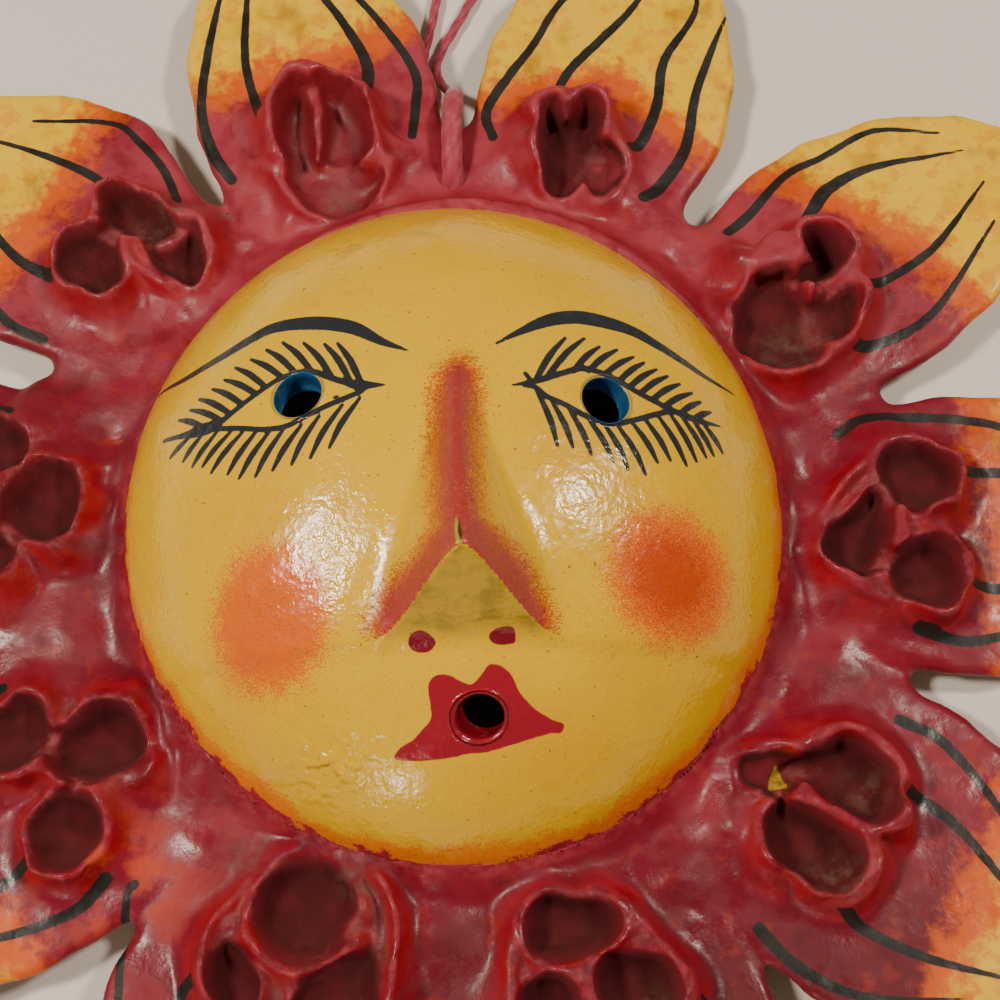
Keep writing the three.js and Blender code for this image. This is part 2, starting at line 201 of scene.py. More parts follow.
def crest_gap(xy: np.ndarray, line: np.ndarray) -> tuple[np.ndarray, np.ndarray]:
    """How far each place is from a crest line, and how high the crest is at the nearest point of it.

    Args:
        xy: Places, in an array of any shape.
        line: The crest's points with their heights, m by 3.

    Returns:
        The distances and the heights.
    """
    flat = xy.reshape(-1, 2)
    gap = np.full(len(flat), FAR)
    height = np.zeros(len(flat))
    for start, end in zip(line[:-1], line[1:]):
        t, away = from_span(flat, start[:2], end[:2])
        away = np.linalg.norm(away, axis=1)
        height = np.where(away < gap, start[2] + t * (end[2] - start[2]), height)
        gap = np.where(away < gap, away, gap)
    return gap.reshape(xy.shape[:-1]), height.reshape(xy.shape[:-1])


def nearest(gaps: list[np.ndarray]) -> np.ndarray:
    """The least of several distances, or NO_PAINT where all are greater."""
    return np.minimum(np.min(gaps, axis=0), NO_PAINT)


def by_angle(x: np.ndarray, y: np.ndarray, values: tuple[float, ...]) -> np.ndarray:
    """Values given at every 30 degrees clockwise from the forehead, read at the angle of each place."""
    angle = np.degrees(np.arctan2(x, y)) % 360.0
    return np.interp(angle, np.arange(0, 361, 30), (*values, values[0]))


def hill(xy: np.ndarray, x: float, y: float, size: float) -> np.ndarray:
    """A round hill of height 1 at x and y that falls to a third at size."""
    return np.exp(-((xy[..., 0] - x) ** 2 + (xy[..., 1] - y) ** 2) / size**2)


# ---------------------------------------------------------------- meshes


def add_object(name: str, data: bpy.types.ID) -> bpy.types.Object:
    """A new object for a mesh, a light or a camera, linked to the scene."""
    obj = bpy.data.objects.new(name, data)
    bpy.context.scene.collection.objects.link(obj)
    return obj


@dataclass
class Workbench:
    """Puts finished arrays into the scene, moved from the shell's middle to the frame."""

    middle: tuple[float, float]

    def metres(self, points: np.ndarray) -> np.ndarray:
        """Places of the model as metres in the frame."""
        return (points + [*self.middle, 0.0]) * MM

    def places(self, mesh: bpy.types.Mesh) -> np.ndarray:
        """A mesh's points, n by 3, in millimetres about the shell's middle."""
        flat = np.empty(len(mesh.vertices) * 3)
        mesh.vertices.foreach_get("co", flat)
        return flat.reshape(-1, 3) / MM - [*self.middle, 0.0]

    def mesh(self, name: str, points: np.ndarray, faces: np.ndarray) -> bpy.types.Mesh:
        """A mesh in metres in the frame.

        Args:
            name: The mesh's name.
            points: n by 3.
            faces: m by 3 or m by 4, running anticlockwise seen from outside.

        Returns:
            The mesh.
        """
        mesh = bpy.data.meshes.new(name)
        mesh.from_pydata(self.metres(points), [], faces.tolist())
        mesh.validate()
        mesh.shade_smooth()
        return mesh

    @staticmethod
    def note(mesh: bpy.types.Mesh, notes: dict[str, np.ndarray]) -> None:
        """Keeps numbers for each point of a mesh, by name, for its material to read."""
        for name, values in notes.items():
            layer = mesh.attributes.new(name, "FLOAT", "POINT")
            layer.data.foreach_set("value", np.ascontiguousarray(values, np.float32))

    @staticmethod
    def piece(
        name: str, mesh: bpy.types.Mesh, node: str, slot: str, material: bpy.types.Material
    ) -> bpy.types.Object:
        """An object for a finished mesh that rides on the root and stands for its CAD node.

        Args:
            name: The piece's name.
            mesh: Its mesh.
            node: The CAD node it stands for.
            slot: The name of a material slot; not used.
            material: Its finish.

        Returns:
            The object.
        """
        obj = add_object(name, mesh)
        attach(obj, "root")
        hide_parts(node)
        mesh.materials.clear()
        mesh.materials.append(material)
        LOG.info("%s: %d faces", name, len(mesh.polygons))
        return obj


def tube(path: np.ndarray, radii: np.ndarray, closed: bool) -> tuple[np.ndarray, np.ndarray]:
    """A tube of uneven section carried along a path, with its frame turned as little as can be.

    Point (i, j) is path i plus radii (i, j) times the unit vector at angle j in the plane across the path.

    Args:
        path: Centres, n by 3.
        radii: Radius of each point, n by m.
        closed: Whether the last ring joins the first; otherwise both ends are capped by a cone.

    Returns:
        The points and the triangles.
    """
    n, m = radii.shape
    if closed:
        ahead = np.roll(path, -1, axis=0) - np.roll(path, 1, axis=0)
    else:
        ahead = np.gradient(path, axis=0)
    ahead /= np.linalg.norm(ahead, axis=1, keepdims=True)
    side = np.empty_like(path)
    first = np.cross(ahead[0], [0.0, 0.0, 1.0])
    side[0] = first / np.linalg.norm(first)
    for i in range(1, n):
        step = side[i - 1] - ahead[i] * (side[i - 1] @ ahead[i])
        side[i] = step / np.linalg.norm(step)
    up = np.cross(ahead, side)
    angle = np.broadcast_to(np.linspace(0, TURN, m, endpoint=False), (n, m))
    if closed:
        drift = math.atan2(side[-1] @ up[0], side[-1] @ side[0])
        angle = angle - (drift * np.arange(n) / n)[:, None]
    spot = (
        path[:, None, :]
        + (radii * np.cos(angle))[:, :, None] * side[:, None, :]
        + (radii * np.sin(angle))[:, :, None] * up[:, None, :]
    )
    points = spot.reshape(-1, 3)
    rows = np.arange(n if closed else n - 1)[:, None] * m
    cols = np.arange(m)[None, :]
    below, after = (rows + m) % (n * m), (cols + 1) % m
    a, b, c, d = rows + cols, rows + after, below + after, below + cols
    faces = np.vstack([np.stack([a, b, c], -1).reshape(-1, 3), np.stack([a, c, d], -1).reshape(-1, 3)])
    if not closed:
        caps = np.stack([path[0] - ahead[0] * radii[0].mean() * 0.5, path[-1] + ahead[-1] * radii[-1].mean() * 0.5])
        ring, following, last = np.arange(m), (np.arange(m) + 1) % m, (n - 1) * m
        start = np.stack([np.full(m, n * m), following, ring], -1)
        end = np.stack([np.full(m, n * m + 1), last + ring, last + following], -1)
        points = np.vstack([points, caps])
        faces = np.vstack([faces, start, end])
    return points, faces


@dataclass
class ClayBlock:
    """A block of space on a grid that a shape is modelled in: less than 0 inside the shape, in millimetres."""

    low: tuple[float, float, float]
    high: tuple[float, float, float]
    step: float
    value: np.ndarray = field(init=False)
    axes: list[np.ndarray] = field(init=False)

    def __post_init__(self) -> None:
        """Lays out the grid; its values are set by the first shape."""
        self.axes = [np.arange(a, b, self.step) for a, b in zip(self.low, self.high)]

    def around(self, line: np.ndarray, margin: float) -> tuple[Window, np.ndarray]:
        """The grid's columns within a margin of a line.

        Args:
            line: The line's points, whose first two columns are x and y.
            margin: How far beyond them the columns go.

        Returns:
            The window that holds the columns, and the x and y of each, nx by ny by 2.
        """
        spans = []
        for axis, a in zip(self.axes, line[:, :2].T):
            spans.append(slice(*(int(np.searchsorted(axis, end)) for end in (a.min() - margin, a.max() + margin))))
        return tuple(spans), self.columns(*spans)

    def columns(self, across: slice = slice(None), along: slice = slice(None)) -> np.ndarray:
        """The x and y of each column in a window, or in all the block, as nx by ny by 2."""
        return np.stack(np.meshgrid(self.axes[0][across], self.axes[1][along], indexing="ij"), axis=-1)

    def add(self, at: Window, shape: np.ndarray, fillet: float) -> None:
        """Joins a shape to what is in a window, with a fillet."""
        self.value[at] = soft_min(self.value[at], shape.astype(np.float32), fillet)

    def cut(self, at: Window, shape: np.ndarray, fillet: float) -> None:
        """Takes a shape away from what is in a window, with a rounded edge."""
        self.value[at] = soft_max(self.value[at], (-shape).astype(np.float32), fillet)

    def close(self) -> None:
        """Empties the outermost grid points, so that the skin closes."""
        for axis in range(3):
            edge = [slice(None)] * 3
            for end in (0, -1):
                edge[axis] = end
                self.value[tuple(edge)] = 3.0

    def sample(self, points: np.ndarray) -> np.ndarray:
        """The field at any places, from the eight grid points round each by straight-line shares.

        Args:
            points: Places, n by 3.

        Returns:
            One value for each place.
        """
        spot = (points - np.array(self.low)) / self.step
        cell = np.clip(np.floor(spot).astype(int), 0, np.array(self.value.shape) - 2)
        share = np.clip(spot - cell, 0.0, 1.0)
        total = np.zeros(len(points))
        for corner in CORNERS:
            weight = np.prod(np.where(corner, share, 1.0 - share), axis=1)
            total += weight * self.value[tuple((cell + corner).T)]
        return total

    def slope(self, points: np.ndarray) -> np.ndarray:
        """The direction in which the field rises, from differences over part of a step to each side.

        Args:
            points: Places, n by 3.

        Returns:
            The slopes along the axes, n by 3.
        """
        reach = self.step * 0.6
        pushes = np.eye(3) * reach
        parts = [(self.sample(points + push) - self.sample(points - push)) / (2 * reach) for push in pushes]
        return np.stack(parts, axis=1)

    def surface(self) -> tuple[np.ndarray, np.ndarray]:
        """The skin of the shape (surface nets): one point in each cell that the skin passes through.

        Each point is the mean of where the skin crosses the cell's twelve edges, and each grid edge
        that is crossed joins the four cells round it with one four-sided face.

        Returns:
            The points and the faces, facing outwards.
        """
        inside = self.value < 0
        size = [n - 1 for n in inside.shape]
        count = np.zeros(size, np.uint8)
        for dx, dy, dz in CORNERS:
            count += inside[dx : size[0] + dx, dy : size[1] + dy, dz : size[2] + dz]
        active = (count > 0) & (count < len(CORNERS))
        cells = np.argwhere(active)
        index = np.full(size, -1, np.int64)
        index[active] = np.arange(len(cells))
        corner = np.stack([self.value[tuple((cells + s).T)] for s in CORNERS], axis=1)
        total = np.zeros((len(cells), 3))
        crossed = np.zeros(len(cells))
        for i, a in enumerate(CORNERS):
            for j, b in enumerate(CORNERS):
                if j <= i or sum(abs(p - q) for p, q in zip(a, b)) != 1:
                    continue
                hit = (corner[:, i] < 0) != (corner[:, j] < 0)
                gap = np.where(hit, corner[:, i] - corner[:, j], 1.0)
                share = np.where(hit, corner[:, i] / gap, 0.0)[:, None]
                total += np.where(hit[:, None], np.array(a) + share * (np.array(b) - np.array(a)), 0.0)
                crossed += hit
        points = (cells + total / crossed[:, None]) * self.step + np.array(self.low)
        faces = []
        for axis in range(3):
            u, w = (axis + 1) % 3, (axis + 2) % 3
            first = inside[tuple(slice(0, -1) if k == axis else slice(None) for k in range(3))]
            second = inside[tuple(slice(1, None) if k == axis else slice(None) for k in range(3))]
            spot = np.argwhere(first != second)
            ok = (spot[:, u] > 0) & (spot[:, w] > 0) & (spot[:, u] < size[u]) & (spot[:, w] < size[w])
            spot = spot[ok]
            out = first[tuple(spot.T)]
            back_u, back_w = np.eye(3, dtype=int)[u], np.eye(3, dtype=int)[w]
            ring = [spot - back_u - back_w, spot - back_w, spot, spot - back_u]
            quad = np.stack([index[tuple(r.T)] for r in ring], axis=1)
            faces.append(np.where(out[:, None], quad, quad[:, ::-1]))
        return points, np.vstack(faces)


# ---------------------------------------------------------------- materials


def linear(colour: str) -> tuple[float, float, float, float]:
    """An sRGB hex colour as the linear values that a shader mixes."""
    parts = [int(colour[i : i + 2], 16) / 255.0 for i in (1, 3, 5)]
    return *(p / 12.92 if p <= 0.04045 else ((p + 0.055) / 1.055) ** 2.4 for p in parts), 1.0


def add_node(tree: bpy.types.NodeTree, kind: str, links: dict | None = None, **settings: object) -> bpy.types.Node:
    """Adds a node with its settings, its values and its links.

    Args:
        tree: The tree it goes into.
        kind: The node's type name, without the leading ShaderNode.
        links: Socket name or number to a value, or to the output socket it is fed from.
        settings: The node's own properties.

    Returns:
        The node.
    """
    node = tree.nodes.new("ShaderNode" + kind)
    for key, value in settings.items():
        setattr(node, key, value)
    for key, value in (links or {}).items():
        if isinstance(value, Socket):
            tree.links.new(value, node.inputs[key])
        else:
            node.inputs[key].default_value = value
    return node


@dataclass
class Paintwork:
    """One material being built up in coats, from the bare surface outwards."""

    name: str
    ground: str
    tree: bpy.types.NodeTree = field(init=False)
    material: bpy.types.Material = field(init=False)
    colour: Socket = field(init=False)
    place: Socket = field(init=False)

    def __post_init__(self) -> None:
        """Starts the material with its ground colour and the object's own coordinates."""
        self.material = bpy.data.materials.new(self.name)
        self.material.use_nodes = True
        self.tree = self.material.node_tree
        self.tree.nodes.clear()
        self.colour = add_node(self.tree, "RGB").outputs[0]
        self.colour.default_value = linear(self.ground)
        self.place = add_node(self.tree, "TexCoord").outputs["Object"]

    def noted(self, name: str) -> Socket:
        """The number that a mesh keeps for each point under this name."""
        return add_node(self.tree, "Attribute", attribute_name=name).outputs["Fac"]

    def sum(self, operation: str, a: Socket | float, b: Socket | float, c: Socket | float = 0.0) -> Socket:
        """The result of one sum on two or three numbers."""
        return add_node(self.tree, "Math", {0: a, 1: b, 2: c}, operation=operation).outputs[0]

    def times(self, a: Socket, b: Socket | float) -> Socket:
        """The product of two numbers."""
        return self.sum("MULTIPLY", a, b)

    def plus(self, a: Socket, share: Socket | float, b: Socket) -> Socket:
        """A share of the first number on top of the second."""
        return self.sum("MULTIPLY_ADD", a, share, b)

    def band(self, value: Socket, start: float, end: float, low: float = 0.0, high: float = 1.0) -> Socket:
        """Goes smoothly from low, where value is start, to high, where it is end.

        Args:
            value: What is read.
            start: The value at which the change starts; it may be above end.
            end: The value at which it is over.
            low: The result up to start.
            high: The result from end on.

        Returns:
            The result.
        """
        if start > end:
            start, end, low, high = end, start, high, low
        links = {"Value": value, 1: start, 2: end, 3: low, 4: high}
        return add_node(self.tree, "MapRange", links, interpolation_type="SMOOTHSTEP").outputs[0]

    def grain(self, size: float, detail: float = 3.0, stretch: tuple[float, float, float] = (1, 1, 1)) -> Socket:
        """Uneven grain from 0 to 1.

        Args:
            size: About how wide a grain is, in millimetres.
            detail: How many finer grains lie in it.
            stretch: How much it is drawn out along each axis.

        Returns:
            The grain.
        """
        place = self.place
        if stretch != (1, 1, 1):
            place = add_node(self.tree, "Mapping", {"Vector": place, "Scale": [1 / s for s in stretch]}).outputs[0]
        links = {"Vector": place, "Scale": 1.0 / (size * MM), "Detail": detail, "Roughness": 0.55}
        return add_node(self.tree, "TexNoise", links).outputs["Fac"]

    def patch(
        self, size: float, detail: float, start: float, end: float, low: float = 0.0, high: float = 1.0
    ) -> Socket:
        """Patches of grain, from low between them to high in them."""
        return self.band(self.grain(size, detail), start, end, low, high)

    def dabbed(self, value: Socket, spread: float, size: float, detail: float = 4.0) -> Socket:
        """A measured value pushed back and forth by grain, so that an edge drawn at it comes out dabbed."""
        wave = self.sum("SUBTRACT", self.grain(size, detail), 0.5)
        return self.plus(wave, spread, value)

    def two_tone(self, mask: Socket | float, under: Socket | str, over: Socket | str) -> Socket:
        """One colour where the mask is 0 and another where it is 1.

        Args:
            mask: From 0 to 1.
            under: The first colour.
            over: The second colour.

        Returns:
            The mixed colour.
        """
        tones = [linear(tone) if isinstance(tone, str) else tone for tone in (under, over)]
        return add_node(self.tree, "Mix", {0: mask, 6: tones[0], 7: tones[1]}, data_type="RGBA").outputs[2]

    def coat(self, colour: str | Socket, mask: Socket | float) -> None:
        """Lays a colour over what is there, where mask is 1."""
        self.colour = self.two_tone(mask, self.colour, colour)

    def patchy(self, colour: str, *patch: float, on: str = "") -> None:
        """Lays a colour over what is there in patches of grain.

        Args:
            colour: The colour.
            patch: The numbers of the patches, as patch takes them.
            on: The note that the patches keep to, or none.
        """
        mask = self.patch(*patch)
        self.coat(colour, self.times(self.noted(on), mask) if on else mask)

    def finish(
        self, roughness: Socket | float, bump: Socket, bump_mm: float, ior: float, sheen: float = 0.0
    ) -> bpy.types.Material:
        """Ends the material with its shader.

        Args:
            roughness: The surface's roughness.
            bump: The height of the fine relief, 0 to 1.
            bump_mm: How many millimetres that height spans.
            ior: The index of refraction.
            sheen: The weight of fibre sheen.

        Returns:
            The material.
        """
        normal = add_node(self.tree, "Bump", {"Height": bump, "Distance": bump_mm * MM, "Strength": 1.0})
        links = {
            "Base Color": self.colour,
            "Roughness": roughness,
            "IOR": ior,
            "Normal": normal.outputs[0],
            "Sheen Weight": sheen,
        }
        shader = add_node(self.tree, "BsdfPrincipled", links)
        add_node(self.tree, "OutputMaterial", {"Surface": shader.outputs[0]})
        return self.material


class BoreWall(Enum):
    """Which enamel runs into a drilled hole, by the note that the enamel reads."""

    EYE = "eye_wall"
    MOUTH = "mouth_wall"


@dataclass(frozen=True)
class FaceEnamel:
    """Brushed gloss enamel on a coconut shell: deep even colour, a wet shine, and dust and scratches."""

    yellow: str = "#F4C000"
    amber: str = "#E09C00"
    olive_shade: str = "#9E8200"
    straw: str = "#F6C81C"
    ink: str = "#2E3137"
    lip: str = "#A21C2E"
    mouth_wall: str = "#7E1220"
    nostril: str = "#861228"
    blush: str = "#F05A22"
    flush_and_shade: str = "#C63C12"
    ridge: str = "#CE4410"
    ridge_core: str = "#AE3038"
    stubble: str = "#7A4414"
    eye_blue: str = "#275F8C"
    collar_red: str = "#B22C3C"
    collar_shade: str = "#962234"
    fringe: str = "#F0760C"
    speck: str = "#6B4E18"
    scraped: str = "#A8A236"
    chipped: str = "#4A2E14"
    grime: str = "#8A6A2A"
    bare_shell: str = "#5B3F27"
    shell_fibre: str = "#7E5E3D"

    def material(self) -> bpy.types.Material:
        """The painted front, the painted holes and the bare brown inside.

        Returns:
            The material.
        """
        job = Paintwork("gloss_enamel_on_coconut_shell", self.yellow)
        # The yellow: patchy amber, painted shade in amber towards the right, the bottom and the edge by the collar,
        # brush streaks, and painted shade in dull olive under the nose.
        job.patchy(self.amber, 34.0, 2.0, 0.42, 0.72, 0.0, 0.4)
        job.coat(self.amber, job.band(job.noted("shade"), 0.0, 1.0, 0.0, 0.7))
        job.coat(self.straw, job.band(job.grain(5.0, 4.0, (1.0, 6.0, 1.0)), 0.56, 0.74, 0.0, 0.2))
        # Painted shade under the nose: dull olive in patches over the underside of the tip, with a slight olive tint.
        underside_shade = job.times(job.patch(4.0, 6.0, 0.44, 0.66), job.noted("under"))
        job.coat(self.olive_shade, job.plus(underside_shade, 0.45, job.times(job.noted("under"), 0.45)))
        # The reds rubbed on nearly dry, which end in a stipple.
        stipple = job.plus(job.grain(2.2), 0.4, job.times(job.grain(0.26, 2.0, (1.7, 1.0, 1.0)), 1.7))
        for name, colour, cover in (
            ("cheek", self.blush, 0.86),
            ("flush_and_shade", self.flush_and_shade, 0.8),
            ("glow", self.fringe, 0.85),
            ("ridge", self.ridge, 0.88),
            ("core", self.ridge_core, 0.92),
        ):
            job.coat(colour, job.band(job.sum("ADD", job.noted(name), stipple), 1.3, 1.7, 0.0, cover))
        hairs = job.band(job.grain(0.6, 2.0, (2.6, 0.7, 1.0)), 0.57, 0.66)
        job.coat(self.stubble, job.times(job.times(hairs, job.band(job.noted("ridge"), 0.04, 0.45)), 0.62))
        # The collar's red, lapped unevenly on to the shell.
        edge = job.dabbed(job.dabbed(job.noted("paint_line"), 9.0, 3.4, 5.0), 3.0, 0.5, 2.0)
        job.coat(self.collar_red, job.band(edge, 0.35, -0.35))
        job.coat(self.collar_shade, job.times(job.band(edge, 0.0, -1.4), job.patch(3.0, 5.0, 0.4, 0.62)))
        # The drawn features, each with the slight waver of a brush: spread, size and softness of its edge.
        for name, colour, spread, size, soft in (
            ("ink", self.ink, 0.16, 1.1, 0.07),
            ("lips", self.lip, 0.3, 1.6, 0.09),
            ("nostrils", self.nostril, 0.3, 1.3, 0.09),
        ):
            job.coat(colour, job.band(job.dabbed(job.noted(name), spread, size), soft, -soft))
        job.coat(self.eye_blue, job.noted(BoreWall.EYE.value))
        job.coat(self.mouth_wall, job.noted(BoreWall.MOUTH.value))
        # Age: specks, pits, a scrape down to old paint, two chips down to shell, and grime on the brow.
        job.coat(self.speck, job.times(job.patch(0.9, 2.0, 0.70, 0.74), 0.7))
        job.coat(self.speck, job.times(job.patch(0.32, 1.0, 0.70, 0.78), job.patch(9.0, 1.0, 0.4, 0.65, 0.12, 0.6)))
        job.coat(self.scraped, job.band(job.noted("scrape"), 0.1, -0.15, 0.0, 0.9))
        job.coat(self.chipped, job.band(job.noted("chip"), 0.08, -0.12))
        job.coat(self.grime, job.times(job.times(job.patch(7.0, 3.0, 0.60, 0.74), 0.28), job.noted("crown")))
        fibre = job.band(job.grain(2.2, 5.0, (1.0, 9.0, 1.0)), 0.4, 0.66)
        job.coat(job.two_tone(fibre, self.bare_shell, self.shell_fibre), job.noted("inside"))
        # Slow swells under the paint, its orange peel, and the pimples by the mouth.
        orange_peel = job.times(job.grain(1.1, 2.0), job.patch(11.0, 2.0, 0.35, 0.65, 0.15, 0.42))
        relief = job.plus(job.grain(6.5), 0.9, orange_peel)
        relief = job.plus(job.times(job.patch(2.9, 1.0, 0.4, 0.7), job.noted("pimpled")), 1.3, relief)
        rough = job.plus(job.noted("inside"), 0.45, job.patch(2.4, 3.0, 0.35, 0.75, 0.14, 0.31))
        rough = job.plus(job.noted("ridge"), 0.22, rough)
        return job.finish(rough, relief, 0.36, 1.5)


@dataclass(frozen=True)
class CollarEnamel:
    """Gloss enamel brushed over hand-modelled sawdust paste: crimson, dabbed to orange and yellow on the rays."""

    crimson: str = "#80112A"
    rose: str = "#9C2638"
    scarlet: str = "#A81826"
    wine: str = "#5E0E1C"
    brick: str = "#A8301E"
    inner: str = "#6C121C"
    deep: str = "#46080C"
    painted_top_light: str = "#AC3A48"
    orange: str = "#DE5C10"
    smear: str = "#D2471C"
    yellow: str = "#FCC804"
    ochre: str = "#D88A02"
    ink: str = "#24221F"
    rim_highlight: str = "#BC4652"
    dust: str = "#74604F"
    speck: str = "#5A3A30"
    flake_shadow: str = "#5A3414"
    flake: str = "#B48C1E"
    flake_dirt: str = "#7A6420"
    paste: str = "#8A6848"
    pale_paste: str = "#A88863"

    def material(self) -> bpy.types.Material:
        """The collar's crimson with its painted light and shade, its ray colours, veins, dust and the bare paste
        behind.

        Returns:
            The material.
        """
        job = Paintwork("gloss_enamel_on_modelled_paste", self.crimson)
        # The crimson, never even: rosier, browner and darker by turns, with painted shade darker at the lower left,
        # painted light in pale pink above, and painted light in a brighter scarlet on steep walls.
        job.patchy(self.rose, 16.0, 2.0, 0.42, 0.66, 0.0, 0.75)
        job.patchy(self.wine, 8.0, 3.0, 0.52, 0.72, 0.0, 0.45)
        # Painted shade: wine red over the lower left of the collar.
        job.patchy(self.wine, 12.0, 2.0, 0.3, 0.6, 0.3, 0.75, on="low")
        # Painted light: a paler pink over the top of the collar.
        job.patchy(self.painted_top_light, 6.0, 3.0, 0.3, 0.65, 0.35, 0.9, on="painted_top_light")
        job.patchy(self.brick, 5.0, 4.0, 0.56, 0.68, 0.0, 0.4)
        # Painted light: the steep walls in a brighter scarlet.
        job.patchy(self.scarlet, 5.0, 4.0, 0.3, 0.6, 0.35, 0.95, on="wall")
        # The rays, dabbed through orange to yellow towards their tips.
        warm = job.dabbed(job.dabbed(job.noted("warm"), 14.0, 5.5, 6.0), 8.0, 1.6, 4.0)
        job.coat(self.orange, job.band(warm, -3.0, 2.6))
        job.coat(self.yellow, job.band(warm, 3.5, 9.5))
        dabs = job.times(job.patch(3.4, 3.0, 0.5, 0.62), job.band(warm, 4.0, 12.0, 1.0, 0.4))
        job.coat(self.orange, job.times(dabs, job.band(warm, 2.0, 8.0, 0.0, 0.8)))
        job.coat(self.smear, job.times(job.times(job.patch(6.0, 6.0, 0.46, 0.62), job.noted("smeared")), 0.85))
        worn = job.times(job.patch(9.0, 5.0, 0.52, 0.66), job.band(warm, 8.0, 12.0))
        job.coat(self.ochre, job.times(worn, 0.32))
        # The hollows, matt and in painted shade, and the pinched rims with a painted highlight of paler pink.
        # Painted shade: the insides of the cups in a darker red, near black where deep.
        job.patchy(self.inner, 4.0, 2.0, 0.3, 0.6, 0.72, 0.95, on="within")
        job.patchy(self.deep, 5.0, 4.0, 0.35, 0.6, 0.6, 0.95, on="hollow")
        # Painted highlight: a paler pink along the thin pinched rims.
        job.patchy(self.rim_highlight, 2.2, 4.0, 0.42, 0.64, 0.0, 0.4, on="rim")
        job.coat(self.ink, job.band(job.dabbed(job.noted("vein"), 0.35, 2.2), 0.1, -0.1))
        # Age: dust in the folds, smudges, specks, and the loose yellow flake with its shadow and dirt.
        dusty = job.times(job.noted("dust"), job.patch(2.6, 4.0, 0.4, 0.62, 0.05, 1.0))
        job.coat(self.dust, job.times(dusty, 0.55))
        job.coat(self.deep, job.times(job.patch(11.0, 3.0, 0.54, 0.72), 0.35))
        job.coat(self.speck, job.times(job.patch(1.1, 2.0, 0.72, 0.76), 0.6))
        flake = job.dabbed(job.noted("chip"), 0.5, 0.8)
        job.coat(self.flake_shadow, job.band(flake, 0.42, 0.1, 0.0, 0.7))
        job.coat(self.flake, job.band(flake, 0.12, -0.2))
        job.coat(self.flake_dirt, job.times(job.band(flake, -0.3, -0.9), job.patch(1.2, 3.0, 0.45, 0.6)))
        # The bare paste behind, which the enamel laps round on to.
        lapped = job.band(job.dabbed(job.noted("back"), 0.5, 9.0), 0.45, 0.6)
        job.coat(job.two_tone(job.patch(1.4, 3.0, 0.4, 0.65), self.paste, self.pale_paste), lapped)
        relief = job.plus(job.grain(4.6), 0.75, job.times(job.grain(1.0, 2.0), 0.26))
        rough = job.plus(job.noted("dust"), 0.35, job.patch(6.0, 6.0, 0.34, 0.66, 0.3, 0.62))
        rough = job.plus(job.noted("rim"), job.patch(3.0, 3.0, 0.4, 0.6, 0.0, 0.3), rough)
        rough = job.sum("MAXIMUM", rough, job.times(job.noted("within"), 0.95))
        rough = job.sum("MAXIMUM", rough, job.times(lapped, 0.85))
        return job.finish(rough, relief, 0.24, 1.46)


@dataclass(frozen=True)
class CottonCord:
    """Twisted cotton string, dyed pink and rubbed: matt, with fibre sheen and fine yarns."""

    pink: str = "#B0334A"
    pale: str = "#C8596C"
    shade: str = "#7E2438"

    def material(self) -> bpy.types.Material:
        """The dyed yarn with its pale, rubbed patches, and painted shade in the grooves between its yarns.

        Returns:
            The material.
        """
        job = Paintwork("twisted_cotton_dyed_pink", self.pink)
        job.coat(self.pale, job.times(job.patch(2.4, 4.0, 0.42, 0.7), 0.6))
        # Painted shade: darker pink in the grooves between the yarns.
        job.coat(self.shade, job.noted("groove"))
        return job.finish(0.55, job.grain(0.35, 2.0), 0.07, 1.47, sheen=0.4)


# ---------------------------------------------------------------- the half shell


@dataclass(frozen=True)
class Drilled:
    """A hole bored through the shell: its place, the degrees it leans outwards, its size and its paint."""

    x: float
    y: float
    up: float
    right: float
    radius: float = 4.05
    soft: float = 1.0
    wall: BoreWall = BoreWall.EYE

    def rays(self, count: int) -> tuple[np.ndarray, np.ndarray]:
        """The bore's direction and the unit vectors from its axis to its wall.

        Args:
            count: How many vectors there are, evenly round the axis.

        Returns:
            The direction, and the vectors, count by 3.
        """
        way = np.array([math.tan(math.radians(self.right)), math.tan(math.radians(self.up)), 1.0])
        way /= np.linalg.norm(way)
        first = np.cross([0.0, 1.0, 0.0], way)
        first /= np.linalg.norm(first)
        second = np.cross(way, first)
        angle = np.linspace(0, TURN, count, endpoint=False)
        return way, np.cos(angle)[:, None] * first + np.sin(angle)[:, None] * second


